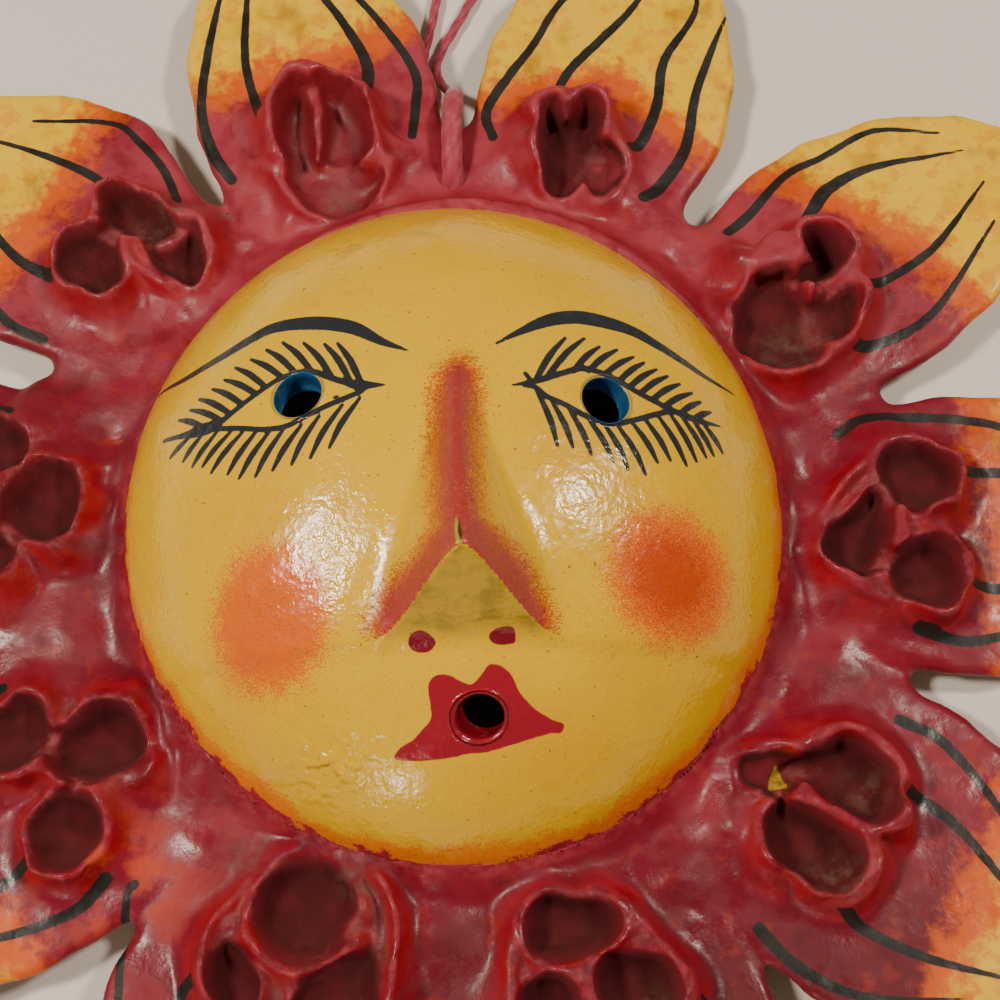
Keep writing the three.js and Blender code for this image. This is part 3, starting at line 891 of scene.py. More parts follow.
@dataclass(frozen=True)
class Nose:
    """The built-up nose: a rounded ridge that flares into two wings, cut off below by a slanting plane."""

    top: float = 23.0
    tip: tuple[float, float, float] = (2.3, -18.0, 15.6)
    left: tuple[float, float, float] = (-10.4, -28.6, 0.0)
    right: tuple[float, float, float] = (15.6, -27.8, 0.0)
    fold: Stroke = ((-10.2, -26.6, 0.0), (-11.6, -30.0, 0.0), (-11.9, -34.5, 0.0))
    fold_height: float = 0.55
    fold_width: float = 1.7

    def parts(self, x: np.ndarray, y: np.ndarray) -> tuple[np.ndarray, np.ndarray]:
        """The heights over the dome of the ridge with its wings, and of the plane under the tip.

        The ridge rises as a power of the length from its top; across, it falls from the crest to a foot
        that widens from the bridge to the wings, in a hollow curve.

        Args:
            x: The x of each place.
            y: The y of each place.

        Returns:
            The ridge's height and the plane's.
        """
        length = np.clip((self.top - y) / (self.top - self.tip[1]), 0.0, 1.35)
        crest = self.tip[2] * length**1.12
        foot = 3.8 + 12.0 * smooth(20.0, -24.0, y) ** 1.3
        middle = 1.2 + 1.1 * smooth(0.0, 1.0, length) - 0.5 * np.sin(math.pi * np.clip(length, 0, 1))
        share = np.abs(x - middle) / (foot * np.where(x > middle, 1.0, 0.9))
        sharp = np.clip(1.173 - np.sqrt(share**2 + 0.03), 0.0, 1.0) ** 2.2
        full = 0.2 + 0.35 * smooth(-10.0, 6.0, y)
        ridge = crest * (full * np.clip(1.0 - share**2, 0.0, 1.0) ** 2 + (1.0 - full) * sharp)
        rows = np.array([[c[0], c[1], 1.0] for c in (self.tip, self.left, self.right)])
        a, b, c = np.linalg.solve(rows, np.array([self.tip[2], self.left[2], self.right[2]]))
        return ridge, a * x + b * y + c

    def height(self, x: np.ndarray, y: np.ndarray) -> np.ndarray:
        """The nose's height over the dome, with the fold that runs on below its left corner.

        Args:
            x: The x of each place.
            y: The y of each place.

        Returns:
            One height for each place.
        """
        ridge, under = self.parts(x, y)
        body = soft_max(soft_min(ridge, under, 1.3), np.zeros_like(ridge), 3.4)
        away, _ = crest_gap(np.stack([x, y], axis=-1), np.array(self.fold))
        return body + self.fold_height * np.exp(-((away / self.fold_width) ** 2))


@dataclass(frozen=True)
class Zone:
    """A part of the front where the paint is fine, by its edges, and the spacing of its points."""

    left: float
    right: float
    low: float
    high: float
    spacing: float

    def holds(self, x: np.ndarray, y: np.ndarray) -> np.ndarray:
        """Which places are in the zone."""
        return (x > self.left) & (x < self.right) & (y > self.low) & (y < self.high)


@dataclass
class FaceShell:
    """The half coconut shell with its nose, its drilled eyes and mouth, and its painted features."""

    outer: tuple[float, float, float] = SHELL
    wall: float = 5.0
    arc: float = 84.0  # the radius of the flat disc that the shell is laid out on
    rim_steps: int = 300
    hole_steps: int = 72
    front_spacing: float = 0.85
    inside_spacing: float = 2.2
    bevel: float = 0.45
    # How far outside a bore's wall, and how deep, each ring of its rounded edge lies.
    rounding: tuple[tuple[float, float], ...] = ((0.26, 0.04), (0.1, 0.16), (0.0, 0.45))
    bore_depths: tuple[float, ...] = (1.6, 3.0)
    wet_depth: float = 0.16  # how deep in a bore its paint starts to cover fully
    nose: Nose = field(default_factory=Nose)
    holes: tuple[Drilled, ...] = (
        Drilled(-24.9, 12.7, 7.0, -5.0),
        Drilled(25.3, 12.0, -2.0, 13.0),
        Drilled(4.7, -39.6, -33.0, -18.0, 3.6, 2.0, BoreWall.MOUTH),
    )
    zones: tuple[Zone, ...] = (
        Zone(-51.0, -9.0, -2.5, 25.0, 0.40),
        Zone(9.0, 48.5, -2.5, 25.0, 0.40),
        Zone(-13.5, 18.5, -31.5, -14.0, 0.36),
        Zone(-11.0, 20.0, -47.5, -31.5, 0.42),
        Zone(-14.0, 18.0, -14.0, 23.0, 0.50),
        Zone(-56.0, 51.0, 19.0, 30.0, 0.50),
    )
    brows: tuple[Stroke, ...] = (
        (
            (-54.5, 23.5, 0.1), (-51.5, 22.5, 0.3), (-46.3, 22.0, 0.5), (-39.5, 23.6, 0.66), (-34.4, 25.6, 0.78),
            (-30.0, 27.2, 0.95), (-23.1, 26.8, 1.15), (-16.4, 24.8, 1.05), (-11.3, 21.5, 0.6), (-6.8, 19.3, 0.15),
        ),
        (
            (7.3, 20.7, 0.15), (11.1, 23.2, 0.5), (16.1, 26.2, 1.0), (20.3, 27.6, 1.15), (24.6, 27.7, 1.15),
            (30.3, 26.9, 0.92), (34.6, 25.0, 0.75), (39.0, 22.8, 0.58), (43.5, 20.8, 0.4), (48.9, 19.6, 0.12),
        ),
    )
    lids: tuple[Stroke, ...] = (
        (
            (-49.2, 10.4, 0.35), (-45.1, 9.9, 0.5), (-42.4, 9.8, 0.95), (-40.2, 9.9, 0.95), (-37.9, 10.6, 0.5),
            (-35.2, 12.3, 0.42), (-30.9, 14.9, 0.42), (-27.9, 16.4, 0.42), (-24.8, 17.0, 0.45), (-22.1, 16.6, 0.45),
            (-19.9, 15.4, 0.45), (-17.0, 14.1, 0.5), (-14.5, 13.3, 0.75), (-10.5, 13.0, 0.15),
        ),
        (
            (-40.5, 9.7, 0.6), (-38.2, 9.1, 0.42), (-34.2, 8.2, 0.4), (-30.5, 7.3, 0.4), (-26.7, 7.2, 0.42),
            (-23.2, 8.6, 0.42), (-19.6, 10.1, 0.42), (-16.9, 11.1, 0.42), (-14.4, 12.1, 0.4), (-13.6, 13.0, 0.4),
        ),
        (
            (10.1, 13.0, 0.15), (13.8, 14.0, 0.45), (18.1, 15.9, 0.45), (21.4, 17.3, 0.48), (24.3, 17.1, 0.45),
            (27.3, 16.1, 0.45), (30.6, 14.4, 0.45), (34.0, 13.0, 0.45), (36.7, 12.1, 0.5), (41.0, 11.4, 0.5),
            (45.4, 11.6, 0.15),
        ),
        (
            (12.0, 13.1, 0.3), (13.8, 12.9, 0.4), (15.6, 11.4, 0.42), (18.6, 10.2, 0.42), (21.6, 8.7, 0.45),
            (24.8, 7.7, 0.45), (27.0, 7.8, 0.45), (30.1, 8.9, 0.42), (33.9, 10.7, 0.42), (36.6, 11.9, 0.4),
        ),
        ((12.2, 15.4, 0.3), (13.3, 13.8, 0.35)),
    )
    # Each lash as base x, y and tip x, y.
    lashes: tuple[tuple[float, float, float, float], ...] = (
        (-14.3, 13.5, -18.7, 21.9), (-16.3, 14.4, -20.9, 22.0), (-19.3, 15.3, -24.5, 22.8), (-22.8, 16.9, -28.2, 23.6),
        (-25.7, 17.2, -31.0, 22.7), (-27.9, 16.6, -33.6, 21.3), (-30.6, 15.2, -36.4, 20.4), (-32.1, 14.1, -38.3, 18.5),
        (-34.5, 12.7, -40.4, 17.3), (-37.0, 11.8, -42.8, 16.1), (-38.4, 10.8, -44.4, 14.5), (-41.9, 10.6, -46.5, 13.3),
        (-14.5, 10.9, -19.2, 2.5), (-17.3, 9.9, -22.3, 1.1), (-21.1, 8.3, -25.4, 0.4), (-24.0, 7.1, -28.6, -0.2),
        (-27.0, 6.8, -31.5, -0.8), (-29.4, 6.8, -34.3, -0.6), (-31.7, 7.2, -36.4, 0.5), (-34.1, 7.6, -39.4, 1.4),
        (-36.3, 8.1, -41.1, 2.9), (-38.9, 8.6, -43.0, 3.4), (-41.6, 8.9, -44.9, 4.9), (-43.9, 9.3, -47.6, 6.5),
        (13.8, 14.0, 18.9, 23.0), (15.8, 15.0, 22.1, 23.4), (20.1, 16.6, 24.6, 22.2), (22.6, 17.0, 27.6, 22.2),
        (25.4, 16.9, 30.4, 21.3), (27.8, 16.0, 32.2, 20.5), (29.4, 15.0, 34.3, 19.6), (31.3, 14.2, 36.2, 18.7),
        (33.3, 13.4, 38.3, 17.7), (35.3, 12.5, 40.4, 16.5), (38.3, 12.1, 41.9, 15.2), (40.6, 11.6, 43.7, 13.8),
        (13.9, 12.6, 17.3, 2.8), (16.4, 10.8, 19.8, 2.7), (19.1, 9.8, 22.8, 1.7), (22.1, 8.6, 26.4, 0.9),
        (24.8, 7.8, 28.8, 0.0), (27.0, 7.8, 31.7, -0.4), (29.5, 8.6, 33.8, 2.0), (31.7, 9.6, 36.0, 2.8),
        (34.0, 10.7, 38.8, 2.5), (36.1, 11.6, 40.6, 3.7), (38.2, 11.5, 42.4, 4.9), (40.2, 11.4, 43.8, 5.6),
        (42.0, 11.3, 45.5, 6.7),
    )
    lips: Loop = (
        (-8.6, -45.3), (-7.7, -43.7), (-5.8, -42.7), (-4.2, -41.2), (-2.8, -39.6), (-2.9, -37.3), (-3.2, -34.9),
        (-2.2, -33.5), (-0.1, -33.3), (1.7, -34.1), (3.6, -34.7), (5.1, -33.3), (6.4, -31.8), (8.1, -31.9),
        (9.7, -32.9), (10.5, -34.2), (11.3, -35.8), (12.7, -37.2), (14.1, -38.3), (16.4, -39.4), (18.3, -40.0),
        (17.8, -41.2), (16.1, -41.4), (12.4, -42.5), (8.3, -43.7), (6.2, -44.3), (3.2, -44.6), (0.2, -45.2),
        (-4.3, -45.6),
    )
    nostrils: tuple[Loop, ...] = (
        ((-6.3, -28.6), (-5.7, -27.6), (-4.1, -27.2), (-2.7, -27.8), (-1.9, -28.7), (-2.7, -29.7), (-4.1, -30.1),
         (-5.7, -29.7)),
        ((6.4, -27.7), (7.2, -27.0), (8.6, -26.6), (10.3, -26.7), (10.5, -28.4), (9.4, -28.8), (7.8, -28.9),
         (6.7, -28.5)),
    )
    # The red brushed down the nose: its ridge, then each wing.
    nose_strokes: tuple[Stroke, ...] = (
        ((1.5, 14.9, 1.0), (1.3, 12.4, 1.9), (0.9, 7.0, 2.1), (0.9, 0.0, 2.2), (1.2, -7.0, 2.2), (1.8, -13.0, 2.3),
         (2.2, -16.0, 1.6)),
        ((1.2, -14.5, 1.8), (-2.0, -18.6, 2.1), (-4.9, -21.4, 2.3), (-7.4, -23.8, 2.3), (-9.4, -25.8, 1.3)),
        ((2.8, -14.5, 1.8), (5.2, -16.6, 2.5), (8.0, -18.8, 2.6), (10.6, -21.6, 2.1), (12.8, -24.2, 1.3),
         (14.4, -26.0, 0.4)),
    )
    scrape: Stroke = ((1.5, -13.2, 0.15), (1.7, -15.0, 0.5), (2.0, -17.4, 0.55), (2.2, -18.2, 0.15))
    chips: tuple[Stroke, ...] = (
        ((1.9, -13.6, 0.1), (2.1, -16.0, 0.35), (2.3, -17.2, 0.2)),
        ((-18.6, 11.4, 0.4), (-18.1, 11.5, 0.3)),
    )
    # Cheeks as middle x, y, half sizes and how deep a red they are; the deeper red of the right cheek is partly painted
    # shade.
    cheeks: tuple[tuple[float, float, float, float, float], ...] = (
        (-28.7, -23.6, 10.6, 12.0, 0.25),
        (35.7, -16.4, 11.2, 11.4, 0.8),
    )
    # Height on the shell where the yellow ends, at every 30 degrees clockwise from the forehead.
    paint_heights: tuple[float, ...] = (20.5, 19.7, 16.8, 14.8, 14.2, 14.3, 14.7, 14.9, 14.8, 14.2, 13.0, 16.0)
    # How strongly the orange glows inside that edge, at the same angles.
    glow: tuple[float, ...] = (0.05, 0.15, 0.45, 0.7, 0.8, 0.9, 0.95, 0.85, 0.75, 0.5, 0.15, 0.05)

    def dome(self, x: np.ndarray, y: np.ndarray, inset: float = 0.0) -> np.ndarray:
        """The height of the half ellipsoid, inset by a wall's thickness."""
        a, b, h = (size - inset for size in self.outer)
        return h * np.sqrt(np.clip(1.0 - (x / a) ** 2 - (y / b) ** 2, 0.0, 1.0))

    def front(self, x: np.ndarray, y: np.ndarray) -> np.ndarray:
        """The front's height: the dome, the nose, and the carver's uneven facets faded out at the rim.

        Args:
            x: The x of each place.
            y: The y of each place.

        Returns:
            One height for each place.
        """
        xy = np.stack([x, y], axis=-1)
        dents = ripple(xy, 24.0, 3) + 0.45 * ripple(xy, 9.0, 4)
        edge = 1.0 - (x / self.outer[0]) ** 2 - (y / self.outer[1]) ** 2
        return self.dome(x, y) + self.nose.height(x, y) + 0.16 * dents * smooth(0.02, 0.25, edge)

    def unroll(self, x: np.ndarray, y: np.ndarray, inset: float) -> np.ndarray:
        """Flat coordinates on the shell: the polar angle as a length along the arc, in its own direction.

        Args:
            x: The x of each place.
            y: The y of each place.
            inset: How far in the face lies.

        Returns:
            The flat coordinates, with a last axis of 2.
        """
        px, py = x / (self.outer[0] - inset), y / (self.outer[1] - inset)
        sine = np.clip(np.hypot(px, py), 1e-9, 1.0)
        scale = np.arcsin(sine) / (math.pi / 2) / sine * self.arc
        return np.stack([px * scale, py * scale], axis=-1)

    def roll(self, flat: np.ndarray, inset: float) -> tuple[np.ndarray, np.ndarray]:
        """The x and y of flat coordinates on the shell, the reverse of unroll.

        Args:
            flat: The flat coordinates.
            inset: How far in the face lies.

        Returns:
            The x and the y of each place.
        """
        length = np.clip(np.linalg.norm(flat, axis=-1), 1e-9, None)
        scale = np.sin(length / self.arc * math.pi / 2) / length
        return flat[..., 0] * scale * (self.outer[0] - inset), flat[..., 1] * scale * (self.outer[1] - inset)

    def bore_ring(self, hole: Drilled, radius: float, depth: float, inset: float) -> np.ndarray:
        """A ring on a bore's wall, where it meets the front or the inner face, sunk by depth along the bore.

        Each point slides along the bore by 0.7 of its height over the face, again and again, to meet it.

        Args:
            hole: The hole.
            radius: The ring's radius.
            depth: How far below the face it is sunk.
            inset: 0 for the front, or the wall's thickness for the inner face.

        Returns:
            The ring's points.
        """
        way, spokes = hole.rays(self.hole_steps)
        centre = np.array([hole.x, hole.y, float(self.dome(np.array(hole.x), np.array(hole.y)))])
        along = np.zeros(self.hole_steps)
        for _ in range(24):
            x, y, z = (centre + radius * spokes + along[:, None] * way).T
            along -= 0.7 * (z - (self.dome(x, y, inset) if inset else self.front(x, y)))
        return centre + radius * spokes + (along - depth)[:, None] * way

    def hex_grid(self, spacing: float) -> np.ndarray:
        """Points of a triangular grid over the flat disc of the shell.

        Args:
            spacing: The distance between them.

        Returns:
            The points, n by 2.
        """
        rows = np.arange(-self.arc, self.arc, spacing * math.sqrt(0.75))
        cols = np.arange(-self.arc, self.arc, spacing)
        x, y = np.meshgrid(cols, rows)
        x = x + (np.arange(len(rows)) % 2)[:, None] * spacing / 2
        flat = np.stack([x.ravel(), y.ravel()], axis=1)
        return flat[np.linalg.norm(flat, axis=1) < self.arc - spacing * 0.7]

    def cloud(self, inset: float, spacing: float) -> np.ndarray:
        """The loose points of one face of the shell, set closer in the front's zones.

        Args:
            inset: 0 for the front, or the wall's thickness for the inside.
            spacing: The distance between points outside the zones.

        Returns:
            The points in flat coordinates, n by 2.
        """
        zones = () if inset else self.zones
        clouds = []
        for number, zone in enumerate((None, *zones)):
            grid = self.hex_grid(zone.spacing if zone else spacing)
            x, y = self.roll(grid, inset)
            keep = zone.holds(x, y) if zone else np.full(len(grid), True)
            for other in zones[: number - 1] if zone else zones:
                keep &= ~other.holds(x, y)
            clouds.append(grid[keep])
        return np.vstack(clouds)

    def skin(self, inset: float, spacing: float, bevel: float) -> tuple[np.ndarray, np.ndarray]:
        """One face of the shell as triangles between its rim and the edges of its holes.

        Args:
            inset: 0 for the front, or the wall's thickness for the inside.
            spacing: The usual distance between points.
            bevel: How far from each bore's wall its rounded edge begins.

        Returns:
            The points, rim first and then each bore's edge, and the triangles.
        """
        angle = np.linspace(0, TURN, self.rim_steps, endpoint=False)
        rim = self.arc * np.stack([np.cos(angle), np.sin(angle)], axis=1)
        edges = [self.bore_ring(hole, hole.radius + bevel * hole.soft, 0.0, inset) for hole in self.holes]
        loops = [rim] + [self.unroll(edge[:, 0], edge[:, 1], inset) for edge in edges]
        cloud = self.cloud(inset, spacing)
        room = 1.2 if inset else 0.3
        for loop in loops[1:]:
            cloud = cloud[loop_gap(cloud, loop) > room]
        flat = np.vstack([*loops, cloud])
        bars = []
        start = 0
        for loop in loops:
            ring = np.arange(len(loop))
            bars.append(np.stack([start + ring, start + (ring + 1) % len(loop)], axis=1))
            start += len(loop)
        made = delaunay_2d_cdt([Vector(p) for p in flat], np.vstack(bars).tolist(), [], 0, 1e-7)
        origin = np.array([source[0] if source else -1 for source in made[3]])
        triangles = origin[np.array(made[2])]
        owner = np.full(len(flat), -1)
        owner[self.rim_steps : start] = np.repeat(np.arange(len(self.holes)), self.hole_steps)
        own = owner[triangles]
        plug = (own[:, 0] >= 0) & (own[:, 0] == own[:, 1]) & (own[:, 1] == own[:, 2])
        x, y = self.roll(flat, inset)
        height = self.dome(x, y, inset) if inset else self.front(x, y)
        height[: self.rim_steps] = 0.0
        points = np.stack([x, y, height], axis=1)
        points[self.rim_steps : start] = np.vstack(edges)
        return points, triangles[~plug]

    def build(self, bench: Workbench) -> bpy.types.Object:
        """Joins the front, the inside, the rim and the bores into one closed shell, and dresses it.

        Args:
            bench: Where the mesh is put into the scene.

        Returns:
            The shell's object.
        """
        front, front_faces = self.skin(0.0, self.front_spacing, self.bevel)
        inside, inside_faces = self.skin(self.wall, self.inside_spacing, 0.0)
        base = len(front)
        total = base + len(inside)
        parts = [front, inside]
        ring = np.arange(self.rim_steps)
        after = (ring + 1) % self.rim_steps
        faces = [
            front_faces,
            inside_faces[:, ::-1] + base,
            np.stack([ring, base + ring, base + after], axis=1),
            np.stack([ring, base + after, after], axis=1),
        ]
        wet = {wall: [np.zeros(total)] for wall in BoreWall}
        ring = np.arange(self.hole_steps)
        after = (ring + 1) % self.hole_steps
        for number, hole in enumerate(self.holes):
            start = self.rim_steps + number * self.hole_steps + ring
            wet[hole.wall][0][base + start] = 1.0
            chain = [start]
            rings = [(spread * hole.soft, depth * hole.soft) for spread, depth in self.rounding]
            for spread, depth in (*rings, *((0.0, depth) for depth in self.bore_depths)):
                parts.append(self.bore_ring(hole, hole.radius + spread, depth, 0.0))
                chain.append(total + ring)
                total += self.hole_steps
                for wall, values in wet.items():
                    paint = min(1.0, depth / self.wet_depth / hole.soft**2) if wall is hole.wall else 0.0
                    values.append(np.full(self.hole_steps, paint))
            chain.append(base + start)
            for here, there in zip(chain[:-1], chain[1:]):
                faces.append(np.stack([here, here[after], there[after]], axis=1)[:, ::-1])
                faces.append(np.stack([here, there[after], there], axis=1)[:, ::-1])
        points = np.vstack(parts)
        mesh = bench.mesh("painted_shell", points, np.vstack(faces))
        bare = np.zeros(len(points))
        bare[base + self.rim_steps + len(self.holes) * self.hole_steps : base + len(inside)] = 1.0
        bench.note(mesh, {wall.value: np.concatenate(values) for wall, values in wet.items()} | {"inside": bare})
        bench.note(mesh, self.paint(points))
        return bench.piece(
            "coconut_shell_painted", mesh, "coconut_face", "yellow_enamel", FaceEnamel().material()
        )

    def strokes(self) -> list[np.ndarray]:
        """Every charcoal line on the face: the brows and lids as drawn, and each lash bowed outwards.

        Returns:
            Each line's points with half widths, n by 3.
        """
        lines = [curve_through(line, 5) * [1.0, 1.0, 1.25] for line in (*self.brows, *self.lids)]
        for bx, by, tx, ty in self.lashes:
            bow = 0.04 * np.array([ty - by, bx - tx]) * (1 if tx < 0 else -1)
            half = np.array([0.45 * bx + 0.55 * tx, 0.45 * by + 0.55 * ty]) + bow
            base = 0.5 if ty > by else 0.32
            lines.append(curve_through(((bx, by, base), (half[0], half[1], 0.6), (tx, ty, 0.3)), 3))
        return lines

    def paint(self, points: np.ndarray) -> dict[str, np.ndarray]:
        """How far each point is from every painted edge, and how much of each colour it has.

        Args:
            points: The shell's points.

        Returns:
            The notes that the enamel reads, by name.
        """
        x, y, z = points.T
        xy = points[:, :2]
        out = [np.hypot((x - cx) / hx, (y - cy) / hy) for cx, cy, hx, hy, _ in self.cheeks]
        depths = [cheek[4] for cheek in self.cheeks]
        ridge, under = self.nose.parts(x, y)
        on_wing = smooth(-0.35, 0.15, under - ridge)
        brushed = nearest([stroke_gap(xy, curve_through(stroke, 5)) for stroke in self.nose_strokes])
        above = z - by_angle(x, y, self.paint_heights) + 0.9 * ripple(points, 15.0, 81) + 0.5 * ripple(points, 5.0, 82)
        return {
            "ink": nearest([stroke_gap(xy, line) for line in self.strokes()]),
            "lips": loop_gap(xy, curve_through(self.lips, 3, True)),
            "nostrils": nearest([loop_gap(xy, curve_through(loop, 3, True)) for loop in self.nostrils]),
            "cheek": np.max([0.98 * smooth(1.45, 0.35, o) for o in out], axis=0),
            # A second, deeper red on the cheeks, strongest on the right, where it is partly painted shade.
            "flush_and_shade": np.max([depth * smooth(1.15, 0.1, o) for depth, o in zip(depths, out)], axis=0),
            "core": 0.76 * smooth(2.6, -1.6, brushed) * on_wing,
            "ridge": 0.82 * smooth(5.8, -1.0, brushed) * on_wing,
            # Painted shade on the nose's underside, in dull olive.
            "under": smooth(0.1, -0.4, under - ridge) * smooth(-0.5, 3.0, under),
            "paint_line": above * (1.1 + 1.4 * smooth(-25.0, 35.0, y)),
            "glow": by_angle(x, y, self.glow) * smooth(6.5, 0.5, above),
            # Painted shade: darker amber towards the right, towards the bottom and by the edge of the collar.
            "shade": smooth(6.0, 0.0, above) * 0.08 + smooth(0.0, 50.0, x) * 0.3 + smooth(-35, -60, y) * 0.2,
            "crown": smooth(20.0, 40.0, y),
            "pimpled": np.exp(-(((x + 19.0) / 6.5) ** 2) - ((y + 45.5) / 4.5) ** 2),
            "scrape": stroke_gap(xy, np.array(self.scrape)),
            "chip": nearest([stroke_gap(xy, np.array(chip)) for chip in self.chips]),
        }


# ---------------------------------------------------------------- the collar


@dataclass(frozen=True)
class Ray:
    """One broad ray of the collar, by its angle clockwise from the forehead, with its veins.

    It has the distance of its tip, half its width, how far its tip lifts and twists, the depth of the gap
    clockwise of it, and how far out its red reaches at the left, in the middle and at the right. The veins
    are points along and across the ray with the line's half width there.
    """

    angle: float
    tip: float
    half: float
    lift: float
    twist: float
    gap: float
    red: tuple[float, float, float] = (93.0, 95.0, 95.0)
    veins: tuple[Stroke, ...] = ()
    waist: float = 0.86
    usual_waist: ClassVar[float] = 0.86
    foot: ClassVar[float] = 69.0
    full: ClassVar[float] = 90.0
    middle: ClassVar[float] = 98.0
    reach: ClassVar[float] = 47.0
    base: ClassVar[float] = 4.3
    root_thickness: ClassVar[float] = 4.6
    tip_thickness: ClassVar[float] = 2.6

    def local(self, xy: np.ndarray) -> tuple[np.ndarray, np.ndarray]:
        """Coordinates along and across the ray."""
        s, c = math.sin(math.radians(self.angle)), math.cos(math.radians(self.angle))
        return xy[..., 0] * s + xy[..., 1] * c, xy[..., 0] * c - xy[..., 1] * s

    def width(self, along: np.ndarray) -> np.ndarray:
        """Half the ray's width: swelling from the waist, nearly even to full, then closing in a full curve.

        Args:
            along: The distance of each place along the ray.

        Returns:
            One half width for each place.
        """
        t = np.clip((along - self.full) / (self.tip - self.full), 0.0, 1.0)
        swell = smooth(self.foot, self.full + 60.0 * (self.usual_waist - self.waist), along)
        return self.half * (self.waist + (1.0 - self.waist) * swell) * (1.0 - t**2.2) ** 0.72

    def edge(self, along: np.ndarray, across: np.ndarray) -> np.ndarray:
        """How far inside the scalloped outline a place is: the room across, over the length of its slope.

        Args:
            along: Each place's distance along the ray.
            across: Its distance across.

        Returns:
            One distance for each place.
        """
        scallop = 0.55 * np.sin(along / 2.3 + self.angle + np.sign(across) * 1.3) * smooth(78.0, 100.0, along)
        scallop += 0.5 * np.sin(along / 6.1 + 2.0 * self.angle + np.sign(across) * 0.9)
        room = self.width(along) + scallop * 0.6 - np.abs(across)
        slope = self.width(along + 0.5) - self.width(along - 0.5)
        return np.minimum(room / np.sqrt(1.0 + np.clip(slope, -6.0, 6.0) ** 2), self.tip - along)

    def blade(self, along: np.ndarray, across: np.ndarray) -> tuple[np.ndarray, np.ndarray]:
        """The ray in height: lifted, dished and twisted towards its tip.

        Args:
            along: Each place's distance along the ray.
            across: Its distance across.

        Returns:
            The middle height and half the thickness at each place.
        """
        t = np.clip((along - self.foot) / (self.tip - self.foot), 0.0, 1.1)
        share = across / self.half
        back = self.base + self.lift * t**2 + 1.2 * t * share**2 + self.twist * t * share
        back = back + 0.5 * np.sin(along / 7.0 + self.angle) * share * t
        thick = self.root_thickness + (self.tip_thickness - self.root_thickness) * t
        thick = thick * (1.0 - 0.18 * np.abs(share) ** 4)
        return back + thick / 2.0, thick / 2.0


@dataclass(frozen=True)
class Hollow:
    """One pinched cup of a flower: the outline of its mouth, the heights of its floor and its rim.

    The rim rises by tilt for every 4 mm outwards, the cup leans outwards by lean, and its wall has a
    thickness. Dark is how much painted shade its inside takes, and lip how softly its edge is rounded.
    """

    mouth: Loop
    floor: float = 6.6
    rim: float = 15.4
    tilt: float = 0.0
    wall: float = 1.5
    lean: float = 0.1
    dark: float = 0.95
    lip: float = 1.2

    @property
    def loop(self) -> np.ndarray:
        """The smooth outline of the mouth."""
        return curve_through(self.mouth, 4, True)

    def upright(self, cols: np.ndarray, z: np.ndarray) -> np.ndarray:
        """Places moved back against the cup's lean, so that its walls stand upright.

        Args:
            cols: The x and y of each place, with a last axis of 2.
            z: The height of each place.

        Returns:
            The moved places.
        """
        centre = self.loop.mean(axis=0)
        return cols - (z * self.lean)[..., None] * (centre / np.linalg.norm(centre))


@dataclass(frozen=True)
class Petal:
    """A thin pinched wall of paste: its crest as x, y and height, half its thickness and its spread foot."""

    crest: Stroke
    half: float = 0.75
    foot: float = 4.4


def cup(angle: float, radius: float, half_across: float, half_along: float, seed: int) -> Loop:
    """The mouth of a cup that isn't drawn point by point: a pinched oval, whose radius wavers by a tenth.

    Args:
        angle: Where it is, in degrees clockwise from the forehead.
        radius: How far out it is.
        half_across: Half its size across that direction.
        half_along: Half its size along it.
        seed: The seed of its waver.

    Returns:
        The outline.
    """
    c, s = math.cos(math.radians(angle)), math.sin(math.radians(angle))
    spin = np.linspace(0.0, TURN, 28, endpoint=False)
    first, second = np.random.default_rng(seed).uniform(0, TURN, 2)
    waver = 1.0 + 0.07 * np.sin(2 * spin + first) + 0.06 * np.sin(3 * spin + second)
    x, y = half_across * waver * np.cos(spin), half_along * waver * np.sin(spin)
    return tuple(zip((radius * s + x * c + y * s).tolist(), (radius * c - x * s + y * c).tolist()))


def slab(z: np.ndarray, middle: np.ndarray, half: np.ndarray, room: np.ndarray) -> np.ndarray:
    """A sheet with a round edge: the distance from its middle height, or from its outline, less half its thickness."""
    return np.hypot(np.clip(half - room, 0.0, None), z - middle) - half


FOUR_VEINS: tuple[Stroke, ...] = (
    ((82.0, -19.5, 1.05), (90.0, -21.0, 0.95), (103.0, -17.5, 0.7), (117.0, -10.5, 0.3)),
    ((88.0, -9.5, 1.15), (98.0, -10.5, 0.95), (109.0, -8.0, 0.7), (121.0, -4.0, 0.25)),
    ((87.0, 9.5, 1.15), (97.0, 11.0, 0.95), (108.0, 8.5, 0.7), (120.0, 4.0, 0.25)),
    ((81.0, 18.5, 1.05), (90.0, 20.5, 0.95), (102.0, 17.5, 0.7), (116.0, 11.0, 0.3)),
)


